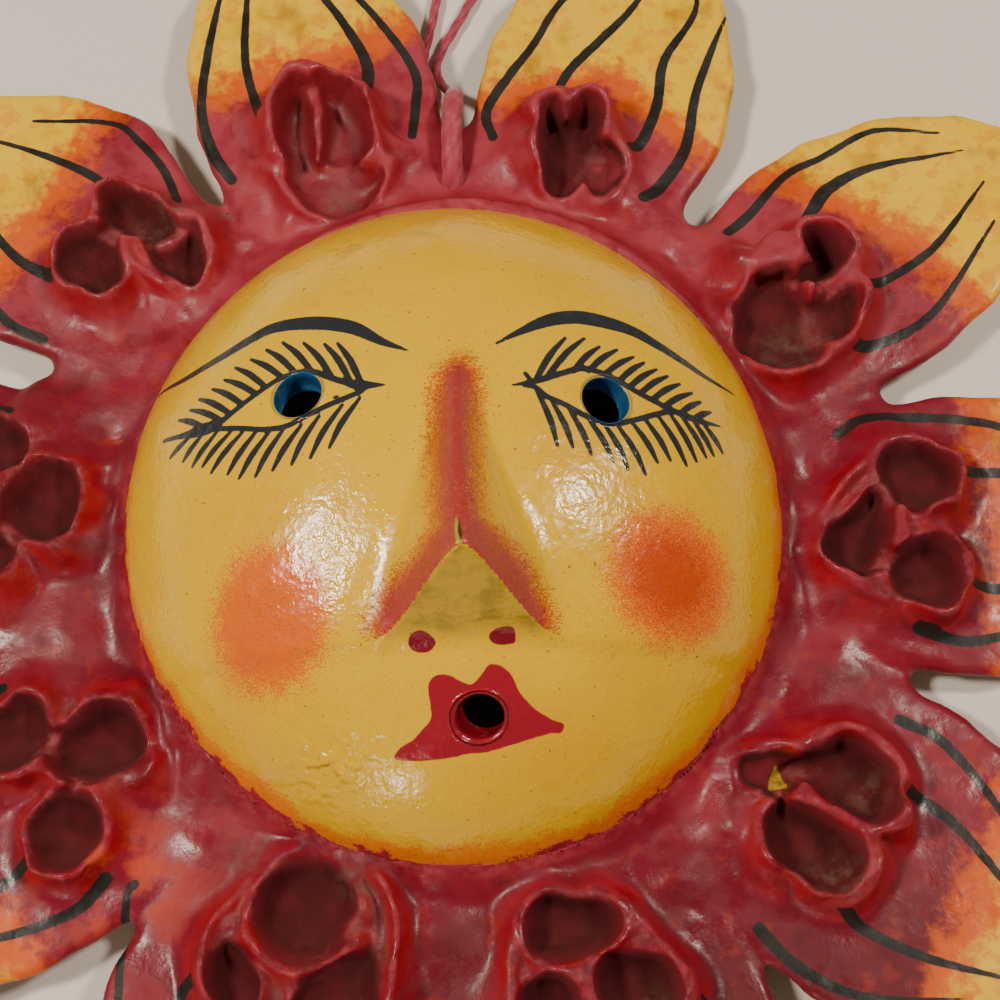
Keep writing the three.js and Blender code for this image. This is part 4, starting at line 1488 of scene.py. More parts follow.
@dataclass
class Collar:
    """The collar of sawdust paste: a ring round the shell, ten rays, and ten flowers of pinched cups."""

    step: float = 0.56
    faces: int = 192000  # the most triangles it is thinned to
    low: tuple[float, float, float] = (-136.0, -131.0, -1.4)
    high: tuple[float, float, float] = (136.0, 131.0, 21.0)
    # The ring: its heights near the shell and at its outer edge, and where one falls to the other.
    ring_top: float = 9.4
    outer_top: float = 7.6
    flat_end: float = 71.0
    outer: float = 80.0
    # The fillet up to the shell, as distances from the middle of a round shell of the mean size.
    shell_mean: float = 61.5
    fillet_end: float = 66.5
    fillet_width: float = 8.5
    # The underside stands up by the undercut outside the part that rests.
    rest: float = 62.6
    undercut: float = 3.9
    ray_root: float = 66.0
    # How softly each kind of shape runs into the rest.
    ray_fillet: float = 4.0
    mound_fillet: float = 3.4
    petal_fillet: float = 2.4
    flap_fillet: float = 2.2
    # Mounds spread below the height where they stand, and a leaning cup is drawn at the height of its mouth.
    stand: float = 6.0
    mouth_height: float = 14.0
    shallow: float = 1.8
    neighbour: float = 17.0
    # The ellipsoid that the shell takes out of the paste.
    socket: tuple[float, float, float] = (59.6, 62.6, 45.7)
    # How high the collar climbs on the shell, at every 30 degrees clockwise from the forehead.
    climbs: tuple[float, ...] = (20.2, 19.4, 16.8, 14.9, 14.3, 14.4, 14.9, 15.1, 15.0, 14.3, 13.0, 16.0)
    rays: tuple[Ray, ...] = (
        Ray(-17.6, 131.5, 23.6, 2.0, 1.2, 82.6, (93.5, 95.5, 97.0), (
            ((78.8, -19.7, 1.0), (84.5, -21.5, 1.15), (91.1, -21.9, 1.0), (97.7, -20.8, 0.95), (109.5, -15.8, 0.8),
             (122.0, -9.5, 0.3)),
            ((85.6, -10.8, 0.9), (90.8, -11.1, 0.95), (101.7, -10.8, 0.85), (112.0, -8.0, 0.7), (124.0, -3.5, 0.25)),
            ((83.9, 9.3, 1.25), (87.4, 9.3, 1.3), (94.6, 11.6, 1.15), (104.1, 10.0, 0.9), (113.0, 7.2, 0.7),
             (124.0, 2.5, 0.25)),
            ((76.8, 15.3, 0.85), (83.0, 17.8, 0.95), (90.1, 19.9, 0.9), (101.4, 17.1, 0.8), (112.0, 12.8, 0.6),
             (120.0, 8.0, 0.25)),
        )),
        Ray(17.8, 134.0, 24.2, 1.0, -2.2, 76.0, (81.5, 92.0, 83.0), (
            ((75.8, -17.2, 0.9), (81.1, -20.3, 1.0), (88.9, -18.8, 0.95), (98.0, -16.1, 0.8), (108.3, -14.0, 0.7),
             (120.0, -8.5, 0.25)),
            ((88.4, -8.8, 0.85), (94.9, -7.8, 0.95), (104.1, -3.7, 0.85), (112.8, -0.1, 0.7), (124.0, 2.0, 0.25)),
            ((80.2, 7.6, 0.95), (84.3, 9.8, 1.1), (93.4, 10.3, 1.05), (103.0, 8.9, 0.9), (115.3, 11.6, 0.6),
             (124.0, 9.0, 0.25)),
            ((72.2, 13.7, 1.15), (76.0, 15.8, 1.25), (85.6, 18.1, 1.1), (97.1, 16.8, 0.9), (105.6, 16.9, 0.8),
             (116.7, 17.6, 0.3)),
        )),
        Ray(54.0, 133.0, 24.6, 2.2, 1.0, 83.0, (86.0, 98.0, 100.0), (
            ((75.1, -17.1, 0.95), (80.6, -17.7, 0.95), (91.4, -20.2, 0.8), (99.7, -19.1, 0.7), (111.2, -17.8, 0.6),
             (121.0, -10.0, 0.25)),
            ((87.3, -10.0, 0.9), (92.3, -12.0, 1.3), (96.7, -13.2, 1.25), (106.2, -11.8, 0.8), (122.0, -4.5, 0.25)),
            ((86.0, 7.0, 1.0), (90.3, 7.5, 0.95), (104.0, 8.0, 0.8), (121.0, 3.0, 0.25)),
            ((76.6, 13.6, 1.0), (82.5, 16.7, 1.0), (96.0, 18.0, 0.8), (117.0, 10.5, 0.3)),
        )),
        Ray(90.0, 134.0, 26.0, 1.4, -1.0, 85.0, veins=(
            ((68.8, -17.4, 1.0), (75.6, -20.7, 1.0), (96.0, -20.0, 0.8), (117.0, -11.0, 0.3)),
            *FOUR_VEINS[1:],
        )),
        Ray(127.5, 132.5, 27.4, 2.4, 1.4, 87.0, (100.0, 107.0, 111.0), (
            *FOUR_VEINS[:2],
            ((90.0, 12.9, 1.05), (96.9, 13.6, 1.0), (108.0, 11.0, 0.8), (122.0, 5.0, 0.25)),
            ((83.0, 24.1, 1.1), (89.5, 25.2, 1.05), (96.5, 24.7, 0.95), (104.4, 21.8, 0.7), (117.0, 12.5, 0.25)),
        )),
        Ray(163.0, 134.0, 27.0, 1.2, -1.2, 87.0, (104.0, 104.0, 100.0), (
            ((86.7, -13.2, 1.0), (92.0, -16.0, 0.95), (104.0, -15.5, 0.7), (118.0, -8.5, 0.3)),
            *FOUR_VEINS[2:],
        )),
        Ray(199.5, 132.0, 27.4, 2.0, 1.0, 87.0, (92.0, 102.0, 106.0), (
            *FOUR_VEINS[:2],
            ((87.0, 13.4, 1.05), (91.4, 15.0, 1.0), (105.0, 13.5, 0.7), (119.0, 6.5, 0.3)),
            ((76.5, 29.1, 0.8), (79.5, 29.4, 0.7), (96.0, 24.0, 0.7), (116.0, 14.0, 0.3)),
        )),
        Ray(236.5, 134.0, 27.0, 1.6, -1.4, 85.0, (98.0, 101.0, 96.0), FOUR_VEINS),
        Ray(272.0, 133.5, 26.0, 2.2, 1.2, 82.0, (97.0, 99.0, 97.0), FOUR_VEINS),
        Ray(309.0, 132.5, 26.5, 1.2, -1.0, 75.6, (94.0, 97.0, 103.0), (
            *FOUR_VEINS[:3],
            ((81.0, 16.6, 0.85), (87.8, 20.2, 0.85), (95.8, 21.9, 0.75), (103.0, 21.6, 0.6), (115.0, 12.5, 0.3)),
        ), 0.70),
    )
    hollows: tuple[Hollow, ...] = (
        Hollow(((-33.7, 79.7), (-32.6, 83.5), (-29.6, 85.6), (-27.9, 83.1), (-27.3, 78.5), (-27.0, 74.0),
                (-27.4, 71.2), (-30.6, 70.6), (-33.2, 74.3)), 7.4, 17.2, 0.5, dark=0.3),
        Hollow(((-26.2, 84.4), (-24.6, 86.4), (-21.5, 86.0), (-19.0, 83.2), (-16.8, 79.0), (-16.2, 74.5),
                (-18.0, 71.4), (-22.6, 70.6), (-25.2, 72.0), (-25.6, 78.5)), 7.4, 17.2, 0.5, dark=0.3),
        Hollow(((-30.8, 67.6), (-29.4, 68.6), (-25.8, 68.6), (-20.7, 68.2), (-15.7, 68.2), (-14.4, 67.4),
                (-15.4, 63.8), (-18.5, 60.9), (-23.0, 60.0), (-27.5, 61.2), (-29.8, 64.4)), 7.4, 13.4, dark=0.2),
        Hollow(((16.3, 80.3), (18.6, 81.6), (20.6, 79.8), (22.3, 81.0), (24.6, 81.8), (26.5, 80.1), (26.8, 77.3),
                (25.3, 73.9), (23.2, 69.4), (22.2, 65.5), (20.1, 63.6), (17.7, 64.2), (16.5, 66.6), (16.1, 71.6),
                (15.7, 76.1)), 6.6, 16.6, 0.6),
        Hollow(((27.2, 72.6), (28.6, 73.6), (30.2, 71.8), (30.7, 68.4), (28.8, 65.6), (26.4, 64.8), (25.2, 66.8),
                (26.0, 70.0)), 8.0, 12.4),
        Hollow(((51.4, 34.5), (51.2, 38.7), (52.5, 42.4), (55.3, 45.4), (58.5, 47.0), (60.8, 45.6), (62.1, 43.4),
                (63.2, 40.6), (63.6, 37.7), (64.6, 34.6), (65.6, 32.6), (64.2, 30.6), (60.7, 29.4), (57.0, 30.0),
                (53.6, 31.8)), 7.0, 15.0, 0.1, lip=1.5),
        Hollow(((63.8, 53.8), (66.5, 55.0), (69.6, 53.9), (71.7, 51.2), (70.4, 48.8), (68.2, 46.8), (65.3, 45.6),
                (63.5, 46.6), (63.0, 48.6), (64.0, 51.0)), 6.8, 16.8, 0.5),
        Hollow(((66.2, 42.2), (68.4, 43.4), (71.2, 44.2), (72.6, 43.2), (72.1, 39.6), (70.4, 36.4), (68.1, 34.8),
                (66.6, 36.8), (65.8, 39.4)), 8.0, 15.6, 0.4),
        Hollow(((64.4, -4.5), (66.8, -1.4), (70.3, 2.1), (73.2, 5.6), (76.0, 4.6), (75.6, -1.0), (74.2, -7.2),
                (71.2, -10.4), (68.0, -8.7), (65.1, -7.0)), 6.6, 16.2, 0.2),
        Hollow(cup(84.0, 82.5, 5.6, 6.6, 11), 7.0, 15.8),
        Hollow(cup(96.5, 83.0, 5.4, 6.4, 12), 7.2, 15.8),
        Hollow(((59.3, -42.1), (63.0, -40.0), (66.6, -39.5), (70.0, -40.7), (73.0, -44.3), (73.4, -49.0),
                (70.9, -52.8), (67.9, -51.6), (64.8, -49.4), (61.8, -46.9), (60.0, -44.6)), 7.0, 16.6, 0.3),
        Hollow(((53.7, -51.5), (55.6, -49.9), (57.7, -50.4), (60.4, -51.6), (63.4, -53.6), (66.6, -56.2),
                (68.0, -59.0), (66.4, -61.9), (63.6, -63.8), (60.5, -63.3), (57.1, -60.9), (54.1, -59.2),
                (52.8, -57.1), (52.9, -53.6)), 7.0, 15.8, 0.2),
        Hollow(((49.6, -42.6), (52.7, -41.9), (56.3, -42.2), (57.6, -43.8), (56.8, -46.1), (54.6, -47.4),
                (51.8, -47.0), (49.9, -45.4)), 8.4, 12.6),
        Hollow(((13.9, -67.7), (15.7, -65.7), (19.3, -65.2), (23.7, -65.4), (26.2, -67.1), (27.0, -69.5),
                (25.4, -71.9), (22.1, -73.6), (17.8, -74.5), (14.2, -74.3), (12.8, -72.9), (12.9, -70.5)), 6.8, 15.6),
        Hollow(((12.7, -79.8), (15.6, -78.0), (18.6, -78.4), (20.5, -82.0), (19.9, -85.8), (17.3, -88.2),
                (13.8, -87.2), (12.0, -83.7)), 7.0, 15.6, 0.3),
        Hollow(((24.9, -76.4), (27.2, -75.0), (30.8, -74.6), (34.3, -75.4), (36.6, -78.3), (36.2, -82.6),
                (32.6, -86.3), (27.7, -85.6), (24.9, -82.3), (24.2, -78.9)), 6.8, 16.0, 0.3),
        Hollow(((-30.5, -61.9), (-28.4, -60.2), (-25.5, -59.6), (-22.0, -60.0), (-18.9, -61.0), (-16.3, -64.1),
                (-16.0, -68.4), (-17.5, -71.5), (-20.0, -74.0), (-22.8, -75.2), (-26.4, -75.1), (-29.4, -72.4),
                (-31.6, -68.4), (-31.7, -64.8)), 6.2, 15.0, 0.6, 1.9, lip=2.4),
        Hollow(((-37.2, -72.2), (-35.3, -73.3), (-33.4, -75.3), (-32.2, -77.3), (-31.6, -80.6), (-32.8, -83.7),
                (-36.1, -84.0), (-38.2, -80.6), (-38.8, -75.4)), 7.4, 15.8, 0.3),
        Hollow(((-19.9, -77.4), (-16.4, -75.3), (-13.4, -73.5), (-12.3, -75.3), (-12.4, -81.3), (-14.7, -86.5),
                (-20.7, -88.1), (-26.1, -85.7), (-26.0, -80.6)), 7.0, 15.6, 0.2),
        Hollow(cup(-123.5, 71.5, 6.6, 7.0, 21), 6.8, 16.0),
        Hollow(cup(-130.0, 84.0, 5.2, 6.6, 22), 7.2, 15.8),
        Hollow(cup(-117.0, 84.0, 5.4, 6.4, 23), 7.2, 15.8),
        Hollow(cup(-87.5, 72.0, 6.8, 6.6, 24), 6.8, 16.0),
        Hollow(cup(-94.0, 84.0, 5.4, 6.6, 25), 7.2, 15.6),
        Hollow(cup(-80.5, 84.2, 5.2, 6.6, 26), 7.2, 15.6),
        Hollow(((-64.6, 62.0), (-61.3, 63.8), (-58.9, 63.1), (-55.7, 61.1), (-53.5, 59.1), (-52.4, 57.2),
                (-53.2, 55.4), (-55.6, 54.4), (-58.4, 54.2), (-61.8, 55.4), (-64.6, 58.4)), 7.2, 16.6, 0.4),
        Hollow(((-55.8, 51.7), (-53.6, 52.4), (-51.5, 53.3), (-50.2, 55.6), (-48.9, 56.4), (-47.6, 55.2),
                (-46.6, 52.2), (-46.3, 49.2), (-47.6, 46.2), (-50.2, 46.4), (-53.4, 48.0)), 7.4, 15.8, 0.2),
        Hollow(cup(-53.5, 83.6, 5.4, 6.2, 31), 7.2, 15.6),
    )
    petals: tuple[Petal, ...] = (
        Petal(((-38.8, 71.6, 11.8), (-35.8, 70.2, 13.4), (-33.0, 66.5, 14.0), (-30.7, 63.0, 14.0), (-27.6, 60.3, 14.0),
               (-24.0, 59.2, 13.8))),
        Petal(((-20.0, 59.4, 13.8), (-16.4, 61.0, 14.2), (-14.2, 64.5, 14.8), (-13.2, 68.5, 15.0), (-11.6, 71.0, 14.0),
               (-9.2, 72.4, 12.0))),
        Petal(((-34.4, 72.0, 14.4), (-35.1, 76.0, 16.0), (-34.9, 80.0, 16.8), (-34.0, 84.0, 17.2), (-32.2, 86.8, 17.6),
               (-29.4, 88.0, 17.8)), 0.6),
        Petal(((-27.6, 88.2, 18.0), (-24.5, 87.6, 17.8), (-21.4, 85.9, 17.4), (-18.7, 82.6, 17.0), (-16.6, 79.0, 16.4),
               (-15.2, 75.0, 15.6), (-14.5, 71.5, 14.4)), 0.6),
        Petal(((-16.0, 78.2, 14.6), (-13.0, 76.2, 12.8), (-9.8, 74.6, 10.6)), 0.6, 3.0),
        Petal(((12.6, 82.4, 13.6), (15.3, 83.0, 16.4), (18.6, 83.4, 17.2), (21.5, 82.8, 16.4), (24.6, 83.3, 17.2),
               (27.2, 81.6, 16.8), (28.2, 77.6, 16.2), (26.8, 73.0, 15.4), (25.0, 69.0, 14.8), (23.5, 65.0, 13.8),
               (21.2, 62.2, 12.8)), 0.7),
        Petal(((28.0, 78.0, 15.0), (30.6, 75.0, 12.6), (32.4, 71.0, 10.8)), 0.7, 3.4),
        Petal(((51.0, 39.0, 14.2), (53.0, 43.6, 15.4), (56.2, 47.0, 16.4), (60.0, 49.0, 17.0), (63.0, 50.2, 17.4)),
              1.1),
        Petal(((63.2, 56.2, 15.0), (66.5, 57.0, 16.6), (70.0, 56.2, 17.0), (72.8, 53.4, 17.2), (74.0, 50.6, 16.6),
               (73.2, 47.4, 14.8), (74.7, 44.6, 16.2), (74.4, 41.0, 16.0), (73.0, 37.4, 15.6), (71.2, 34.4, 15.2),
               (68.0, 31.2, 15.0), (64.0, 28.8, 15.2), (60.0, 27.8, 15.6), (56.4, 28.4, 15.2), (52.8, 31.0, 14.8),
               (50.6, 34.8, 14.2))),
        Petal(((71.4, 49.0, 14.6), (68.4, 46.0, 13.4), (65.0, 44.0, 12.0)), 0.6, 2.0),
        Petal(((62.2, -5.2, 11.6), (64.2, 0.0, 14.0), (66.6, 3.9, 15.2), (69.2, 7.3, 15.8), (72.4, 10.4, 15.4)), 0.7),
        Petal(((62.2, -5.2, 11.6), (66.2, -8.9, 14.0), (70.2, -12.2, 15.0), (75.0, -14.4, 14.6)), 0.7),
        Petal(((49.6, -40.2, 11.8), (53.4, -39.4, 14.6), (57.0, -39.6, 15.8), (59.8, -40.5, 15.4), (61.2, -39.0, 16.2),
               (63.5, -37.4, 17.0), (66.5, -37.0, 17.2), (70.0, -38.2, 16.8), (73.4, -41.0, 16.4), (75.8, -45.4, 16.0)),
              0.9),
        Petal(((58.7, -41.5, 14.6), (59.1, -44.6, 14.2), (58.0, -47.6, 14.4), (61.4, -50.4, 14.4), (65.0, -52.7, 15.0),
               (68.8, -55.4, 15.6), (70.8, -58.6, 15.6), (69.6, -62.6, 15.0), (66.6, -65.6, 14.2), (62.6, -65.8, 13.2)),
              0.7),
        Petal(((54.4, -48.4, 13.2), (52.2, -52.0, 14.6), (50.9, -56.0, 15.0), (51.2, -60.2, 13.8), (54.2, -63.2, 12.4),
               )),
        Petal(((14.2, -65.2, 13.4), (11.8, -67.8, 15.0), (10.4, -72.0, 15.6), (9.8, -76.0, 15.6), (9.6, -81.0, 15.2),
               (10.2, -86.0, 14.6)), 1.2),
        Petal(((24.2, -63.4, 12.8), (28.0, -65.2, 15.0), (31.0, -68.2, 16.2), (33.2, -71.4, 16.6), (36.4, -74.6, 16.6),
               (39.0, -79.0, 16.2), (38.8, -84.0, 15.6), (35.4, -88.2, 15.0))),
        Petal(((27.8, -66.6, 15.0), (29.2, -69.8, 15.8), (31.0, -72.2, 15.6)), 1.4),
        Petal(((-17.4, -59.0, 13.0), (-14.0, -60.0, 15.0), (-11.0, -63.0, 16.2), (-9.2, -67.0, 16.6),
               (-8.6, -71.0, 16.6), (-9.2, -76.0, 16.4), (-9.6, -81.0, 16.2), (-11.4, -86.6, 15.6))),
        Petal(((-34.0, -62.6, 12.6), (-36.2, -65.8, 14.4), (-38.8, -68.6, 15.2), (-40.4, -72.5, 15.6),
               (-40.6, -77.5, 15.6), (-39.8, -83.6, 15.0)), 0.6),
        Petal(((-51.4, 59.4, 13.6), (-48.2, 58.2, 15.2), (-46.0, 54.8, 15.2), (-44.6, 51.0, 14.6), (-44.4, 47.2, 12.8)),
              0.65),
        Petal(((-67.0, 56.0, 14.0), (-63.0, 52.6, 14.6), (-59.5, 49.4, 14.8), (-56.0, 47.0, 14.4), (-52.4, 45.0, 13.2),
               (-48.4, 42.4, 10.8)), 0.65),
        Petal(((-50.4, -21.6, 11.6), (-49.4, -26.5, 13.4), (-51.0, -31.4, 12.6)), 1.2),
    )
    # Petal tips that hang over a hollow, as outline, underside and top.
    flaps: tuple[tuple[Loop, float, float], ...] = (
        (((57.5, 54.6), (60.1, 55.0), (62.7, 53.7), (64.2, 51.2), (65.2, 48.6), (62.6, 48.2), (59.8, 47.2),
          (57.0, 46.0), (54.8, 48.6), (55.2, 52.2)), 13.6, 17.4),
        (((19.2, 84.0), (22.4, 84.0), (21.8, 80.6), (20.6, 78.0), (19.6, 80.2)), 12.6, 16.8),
    )
    # A loose flake of old yellow paint.
    flake: Loop = ((53.2, -47.3), (53.9, -44.8), (54.8, -42.6), (56.0, -43.6), (56.7, -46.6), (54.9, -46.8))
    # Where grey dust has settled, as x, y and size.
    dusty: tuple[tuple[float, float, float], ...] = (
        (-34.7, -58.4, 3.6), (-16.6, -61.9, 2.8), (60.7, 33.2, 4.4), (65.0, -61.5, 4.4), (70.5, -47.0, 3.6),
        (-52.1, 60.6, 3.0), (-57.5, 56.5, 3.0), (-22.0, 63.0, 3.6), (33.0, -83.0, 3.4),
    )
    # Pressed lumps between the flowers, as x, y, size and height.
    lumps: tuple[tuple[float, float, float, float], ...] = (
        (-44.0, -48.5, 5.0, 1.4), (-40.5, -55.5, 4.5, 1.0), (50.5, -56.5, 4.4, 2.2), (-2.0, -68.0, 7.0, 1.2),
        (5.0, -76.0, 5.0, 1.6), (38.5, -62.0, 6.0, 1.2), (62.0, 18.0, 6.0, 1.3), (66.0, 12.0, 4.0, 1.2),
        (63.0, -24.0, 6.0, 1.2), (40.0, 55.0, 5.0, 1.0), (-56.0, 33.0, 6.0, 1.8), (-60.0, 24.0, 5.0, 1.0),
        (-37.5, 66.0, 3.6, 1.6), (-12.0, 66.0, 3.4, 1.4), (8.5, 72.0, 4.0, 1.6), (33.0, 62.0, 4.0, 1.2),
        (-50.0, -40.0, 4.0, 1.2), (46.0, -38.0, 4.0, 1.2), (12.4, 74.5, 4.0, 5.4), (14.0, 68.6, 3.0, 3.4),
        (12.6, 79.8, 3.4, 4.4), (57.0, 54.4, 6.0, 6.6), (52.4, 49.6, 5.4, 5.4), (63.4, 3.4, 3.6, 2.2),
        (65.4, -12.6, 4.0, 2.4), (47.0, -53.0, 4.8, 3.2), (46.0, -47.6, 3.6, 2.0), (-36.4, -69.4, 1.9, 6.0),
        (-15.4, -72.0, 1.9, 5.6), (-44.0, -44.5, 3.4, 1.6),
    )
    block: ClayBlock = field(init=False)

    def ring(self, xy: np.ndarray) -> tuple[np.ndarray, np.ndarray, np.ndarray]:
        """The ring: its top leaves the shell in a hollow fillet, runs nearly flat, and is pressed into swells.

        Args:
            xy: Places, n by m by 2.

        Returns:
            The heights of the top and of the underside, and the room to the ring's outer edge.
        """
        x, y = xy[..., 0], xy[..., 1]
        radius = np.hypot(x, y)
        across = np.hypot(x / SHELL[0], y / SHELL[1]) * self.shell_mean
        fillet = np.clip((self.fillet_end - across) / self.fillet_width, 0.0, 1.0) ** 2
        top = self.ring_top + (by_angle(x, y, self.climbs) - self.ring_top) * fillet
        top = top + (self.outer_top - self.ring_top) * smooth(self.flat_end, self.outer + 3, radius)
        press = 0.55 * ripple(xy, 26.0, 51) + 0.32 * ripple(xy, 11.0, 52)
        top = top + press * smooth(60.0, 66.0, across)
        for lump_x, lump_y, size, height in self.lumps:
            top = top + height * hill(xy, lump_x, lump_y, size)
        under = self.undercut * smooth(self.rest, self.rest + 2.0, radius)
        order = sorted(self.rays, key=lambda ray: ray.angle % 360.0)
        starts = np.array([ray.angle % 360.0 for ray in order])
        mids = (starts + np.append(starts[1:], starts[0] + 360.0)) / 2.0
        reach = [ray.gap - 1.5 for ray in order]
        angle = np.degrees(np.arctan2(x, y)) % 360.0
        edge = np.interp(angle, (mids[-1] - 360.0, *mids, mids[0] + 360.0), (reach[-1], *reach, reach[0]))
        return top, under, edge - radius

    def model(self) -> None:
        """Models the paste: ring, rays and mounds joined with fillets, then the cups hollowed out."""
        self.block = block = ClayBlock(self.low, self.high, self.step)
        z = block.axes[2][None, None, :]
        everywhere = (slice(None), slice(None))
        xy = block.columns()
        top, under, room = (part[..., None] for part in self.ring(xy))
        half = np.clip((top - under) / 2.0, 0.5, None)
        block.value = slab(z, (top + under) / 2.0, half, room).astype(np.float32)
        for ray in self.rays:
            a = math.radians(ray.angle)
            at, cols = block.around(ray.middle * np.array([[math.sin(a), math.cos(a)]]), ray.reach)
            along, across = ray.local(cols)
            middle, half = (part[..., None] for part in ray.blade(along, across))
            room = np.minimum(ray.edge(along, across), along - self.ray_root)[..., None]
            block.add(at, slab(z, middle, half, room), self.ray_fillet)
        carved = [cut for number in range(len(self.hollows)) for cut in self.pinch(number, z)]
        for number, petal in enumerate(self.petals):
            line = curve_through(petal.crest, 4)
            at, cols = block.around(line, 8.0)
            gap, height = crest_gap(cols, line)
            rim = (height + 0.45 * ripple(cols, 6.5, 130 + number))[..., None]
            up = np.clip((z - self.stand) / (rim - self.stand), 0.0, 1.0)
            wall = gap[..., None] - 0.7 * petal.half - petal.foot * (1.0 - up) ** 1.35
            block.add(at, soft_max(wall, z - rim, 1.0), self.petal_fillet)
        for at, bowl, lip in carved:
            block.cut(at, bowl, lip)
        for outline, low, high in self.flaps:
            loop = curve_through(outline, 4, True)
            at, cols = block.around(loop, 4.0)
            sheet = np.abs(z - (low + high) / 2.0) - (high - low) / 2.0
            block.add(at, soft_max(loop_gap(cols, loop)[..., None], sheet, 2.4), self.flap_fillet)
        a, b, h = self.socket
        inner = np.hypot(xy[..., 0] / a, xy[..., 1] / b)[..., None]
        shell = (np.sqrt(inner**2 + (np.clip(z, 0.0, None) / h) ** 2) - 1.0) * 52.0
        block.cut(everywhere, shell, 0.5)
        block.cut(everywhere, z, 0.4)
        block.close()

    def pinch(self, number: int, z: np.ndarray) -> list[tuple[Window, np.ndarray, float]]:
        """Raises the mound of one cup, and works out what is later cut from it.

        Args:
            number: The hollow's number.
            z: The heights of the grid.

        Returns:
            Each cut as its window, its field and the softness of its edge: the bowl of the cup, and
            a notch between it and each earlier cup beside it.
        """
        hollow = self.hollows[number]
        loop = hollow.loop
        centre = loop.mean(axis=0)
        at, cols = self.block.around(loop, 13.0)
        gap = loop_gap(hollow.upright(cols[:, :, None, :], np.clip(z, 4.0, 20.0) - self.mouth_height), loop)
        away = (cols - centre) @ (centre / np.linalg.norm(centre))
        wave = 1.25 * ripple(cols, 8.5, 70 + number) + 0.22 * ripple(cols, 4.0, 90 + number)
        rim = (hollow.rim + hollow.tilt * away / 4.0 + wave)[..., None]
        up = np.clip((z - self.stand) / (rim - self.stand), 0.0, 1.0)
        ragged = (0.6 * ripple(cols, 7.5, 170 + number) + 0.14 * ripple(cols, 3.2, 250 + number))[..., None]
        shellward = smooth(1.0, -6.0, away)[..., None]
        foot = 5.4 + 1.6 * ripple(cols, 16.0, 210 + number)[..., None] + 3.6 * shellward
        wall = hollow.wall + 0.7 * ripple(cols, 12.0, 290 + number)[..., None]
        mound = gap + ragged - wall - foot * (1.0 - up) ** (1.7 - 0.4 * shellward)
        self.block.add(at, soft_max(mound, z - rim, 1.1), self.mound_fillet)
        floor = hollow.floor + self.shallow
        deep = np.clip((rim - z) / (rim - floor), 0.0, 1.0)
        inset = -gap.min() * 0.75 * (1.0 - np.sqrt(1.0 - deep**2.0 * 0.999)) - 0.9 * (1 - deep) ** 2
        bowl = soft_max(gap + 0.6 * ragged + inset, floor - z, 2.6)
        cuts = [(at, bowl.astype(np.float32), hollow.lip)]
        for before, other in enumerate(self.hollows[:number]):
            if np.linalg.norm(np.mean(other.mouth, axis=0) - centre) > self.neighbour:
                continue
            low = min(hollow.rim, other.rim) - 2.6 - 2.4 * ((number * 7 + before * 3) % 5) / 5.0
            between = ((loop_gap(cols, loop) + loop_gap(cols, other.loop)) / 1.7 - 1.7)[..., None]
            notch = soft_max(between, low - z + 0.5 * wave[..., None], 2.4)
            cuts.append((at, notch.astype(np.float32), 0.9))
        return cuts

    def thinned(self, bench: Workbench) -> bpy.types.Mesh:
        """The skin of the modelled paste with fewer faces, except where the veins are drawn.

        Args:
            bench: Where the mesh is made.

        Returns:
            The mesh.
        """
        points, quads = self.block.surface()
        LOG.info("collar skin: %d faces before thinning", len(quads))
        dense = bench.mesh("collar_dense", points, quads)
        holder = add_object("collar_dense", dense)
        inked = np.abs(self.vein_gap(points)) < 1.0
        group = holder.vertex_groups.new(name="may_thin")
        group.add(np.flatnonzero(~inked).tolist(), 1.0, "REPLACE")
        thin = holder.modifiers.new("thin", "DECIMATE")
        thin.ratio = min(1.0, self.faces / (2.0 * len(quads)))
        thin.vertex_group = group.name
        ready = holder.evaluated_get(bpy.context.evaluated_depsgraph_get())
        mesh = bpy.data.meshes.new_from_object(ready)
        bpy.data.objects.remove(holder)
        bpy.data.meshes.remove(dense)
        mesh.name = "modelled_collar"
        return mesh

    def settled(self, points: np.ndarray) -> tuple[np.ndarray, np.ndarray]:
        """Points drawn back on to the modelled surface, and pressed in and out a little by hand.

        Args:
            points: The thinned skin's points.

        Returns:
            The points and the outward direction at each.
        """
        for _ in range(2):
            slope = self.block.slope(points)
            size = np.clip((slope**2).sum(axis=1), 0.25, None)
            shift = np.clip(self.block.sample(points) / size, -0.3, 0.3)
            points = points - slope * shift[:, None]
        slope = unit(self.block.slope(points))
        press = 0.08 * ripple(points, 5.5, 61) + 0.025 * ripple(points, 2.6, 62)
        points = points + slope * (press * smooth(0.4, 1.5, points[:, 2]))[:, None]
        points[:, 2] = np.clip(points[:, 2], 0.02, None)
        return points, slope

    def build(self, bench: Workbench) -> bpy.types.Object:
        """Takes the skin of the modelled paste, thins it, settles it on the surface and dresses it.

        Args:
            bench: Where the mesh is put into the scene.

        Returns:
            The collar's object.
        """
        self.model()
        mesh = self.thinned(bench)
        points, slope = self.settled(bench.places(mesh))
        mesh.vertices.foreach_set("co", bench.metres(points).ravel())
        mesh.update()
        mesh.shade_smooth()
        bench.note(mesh, self.paint(points, slope))
        return bench.piece(
            "paste_collar_with_rays", mesh, "ray_collar", "crimson_enamel", CollarEnamel().material()
        )

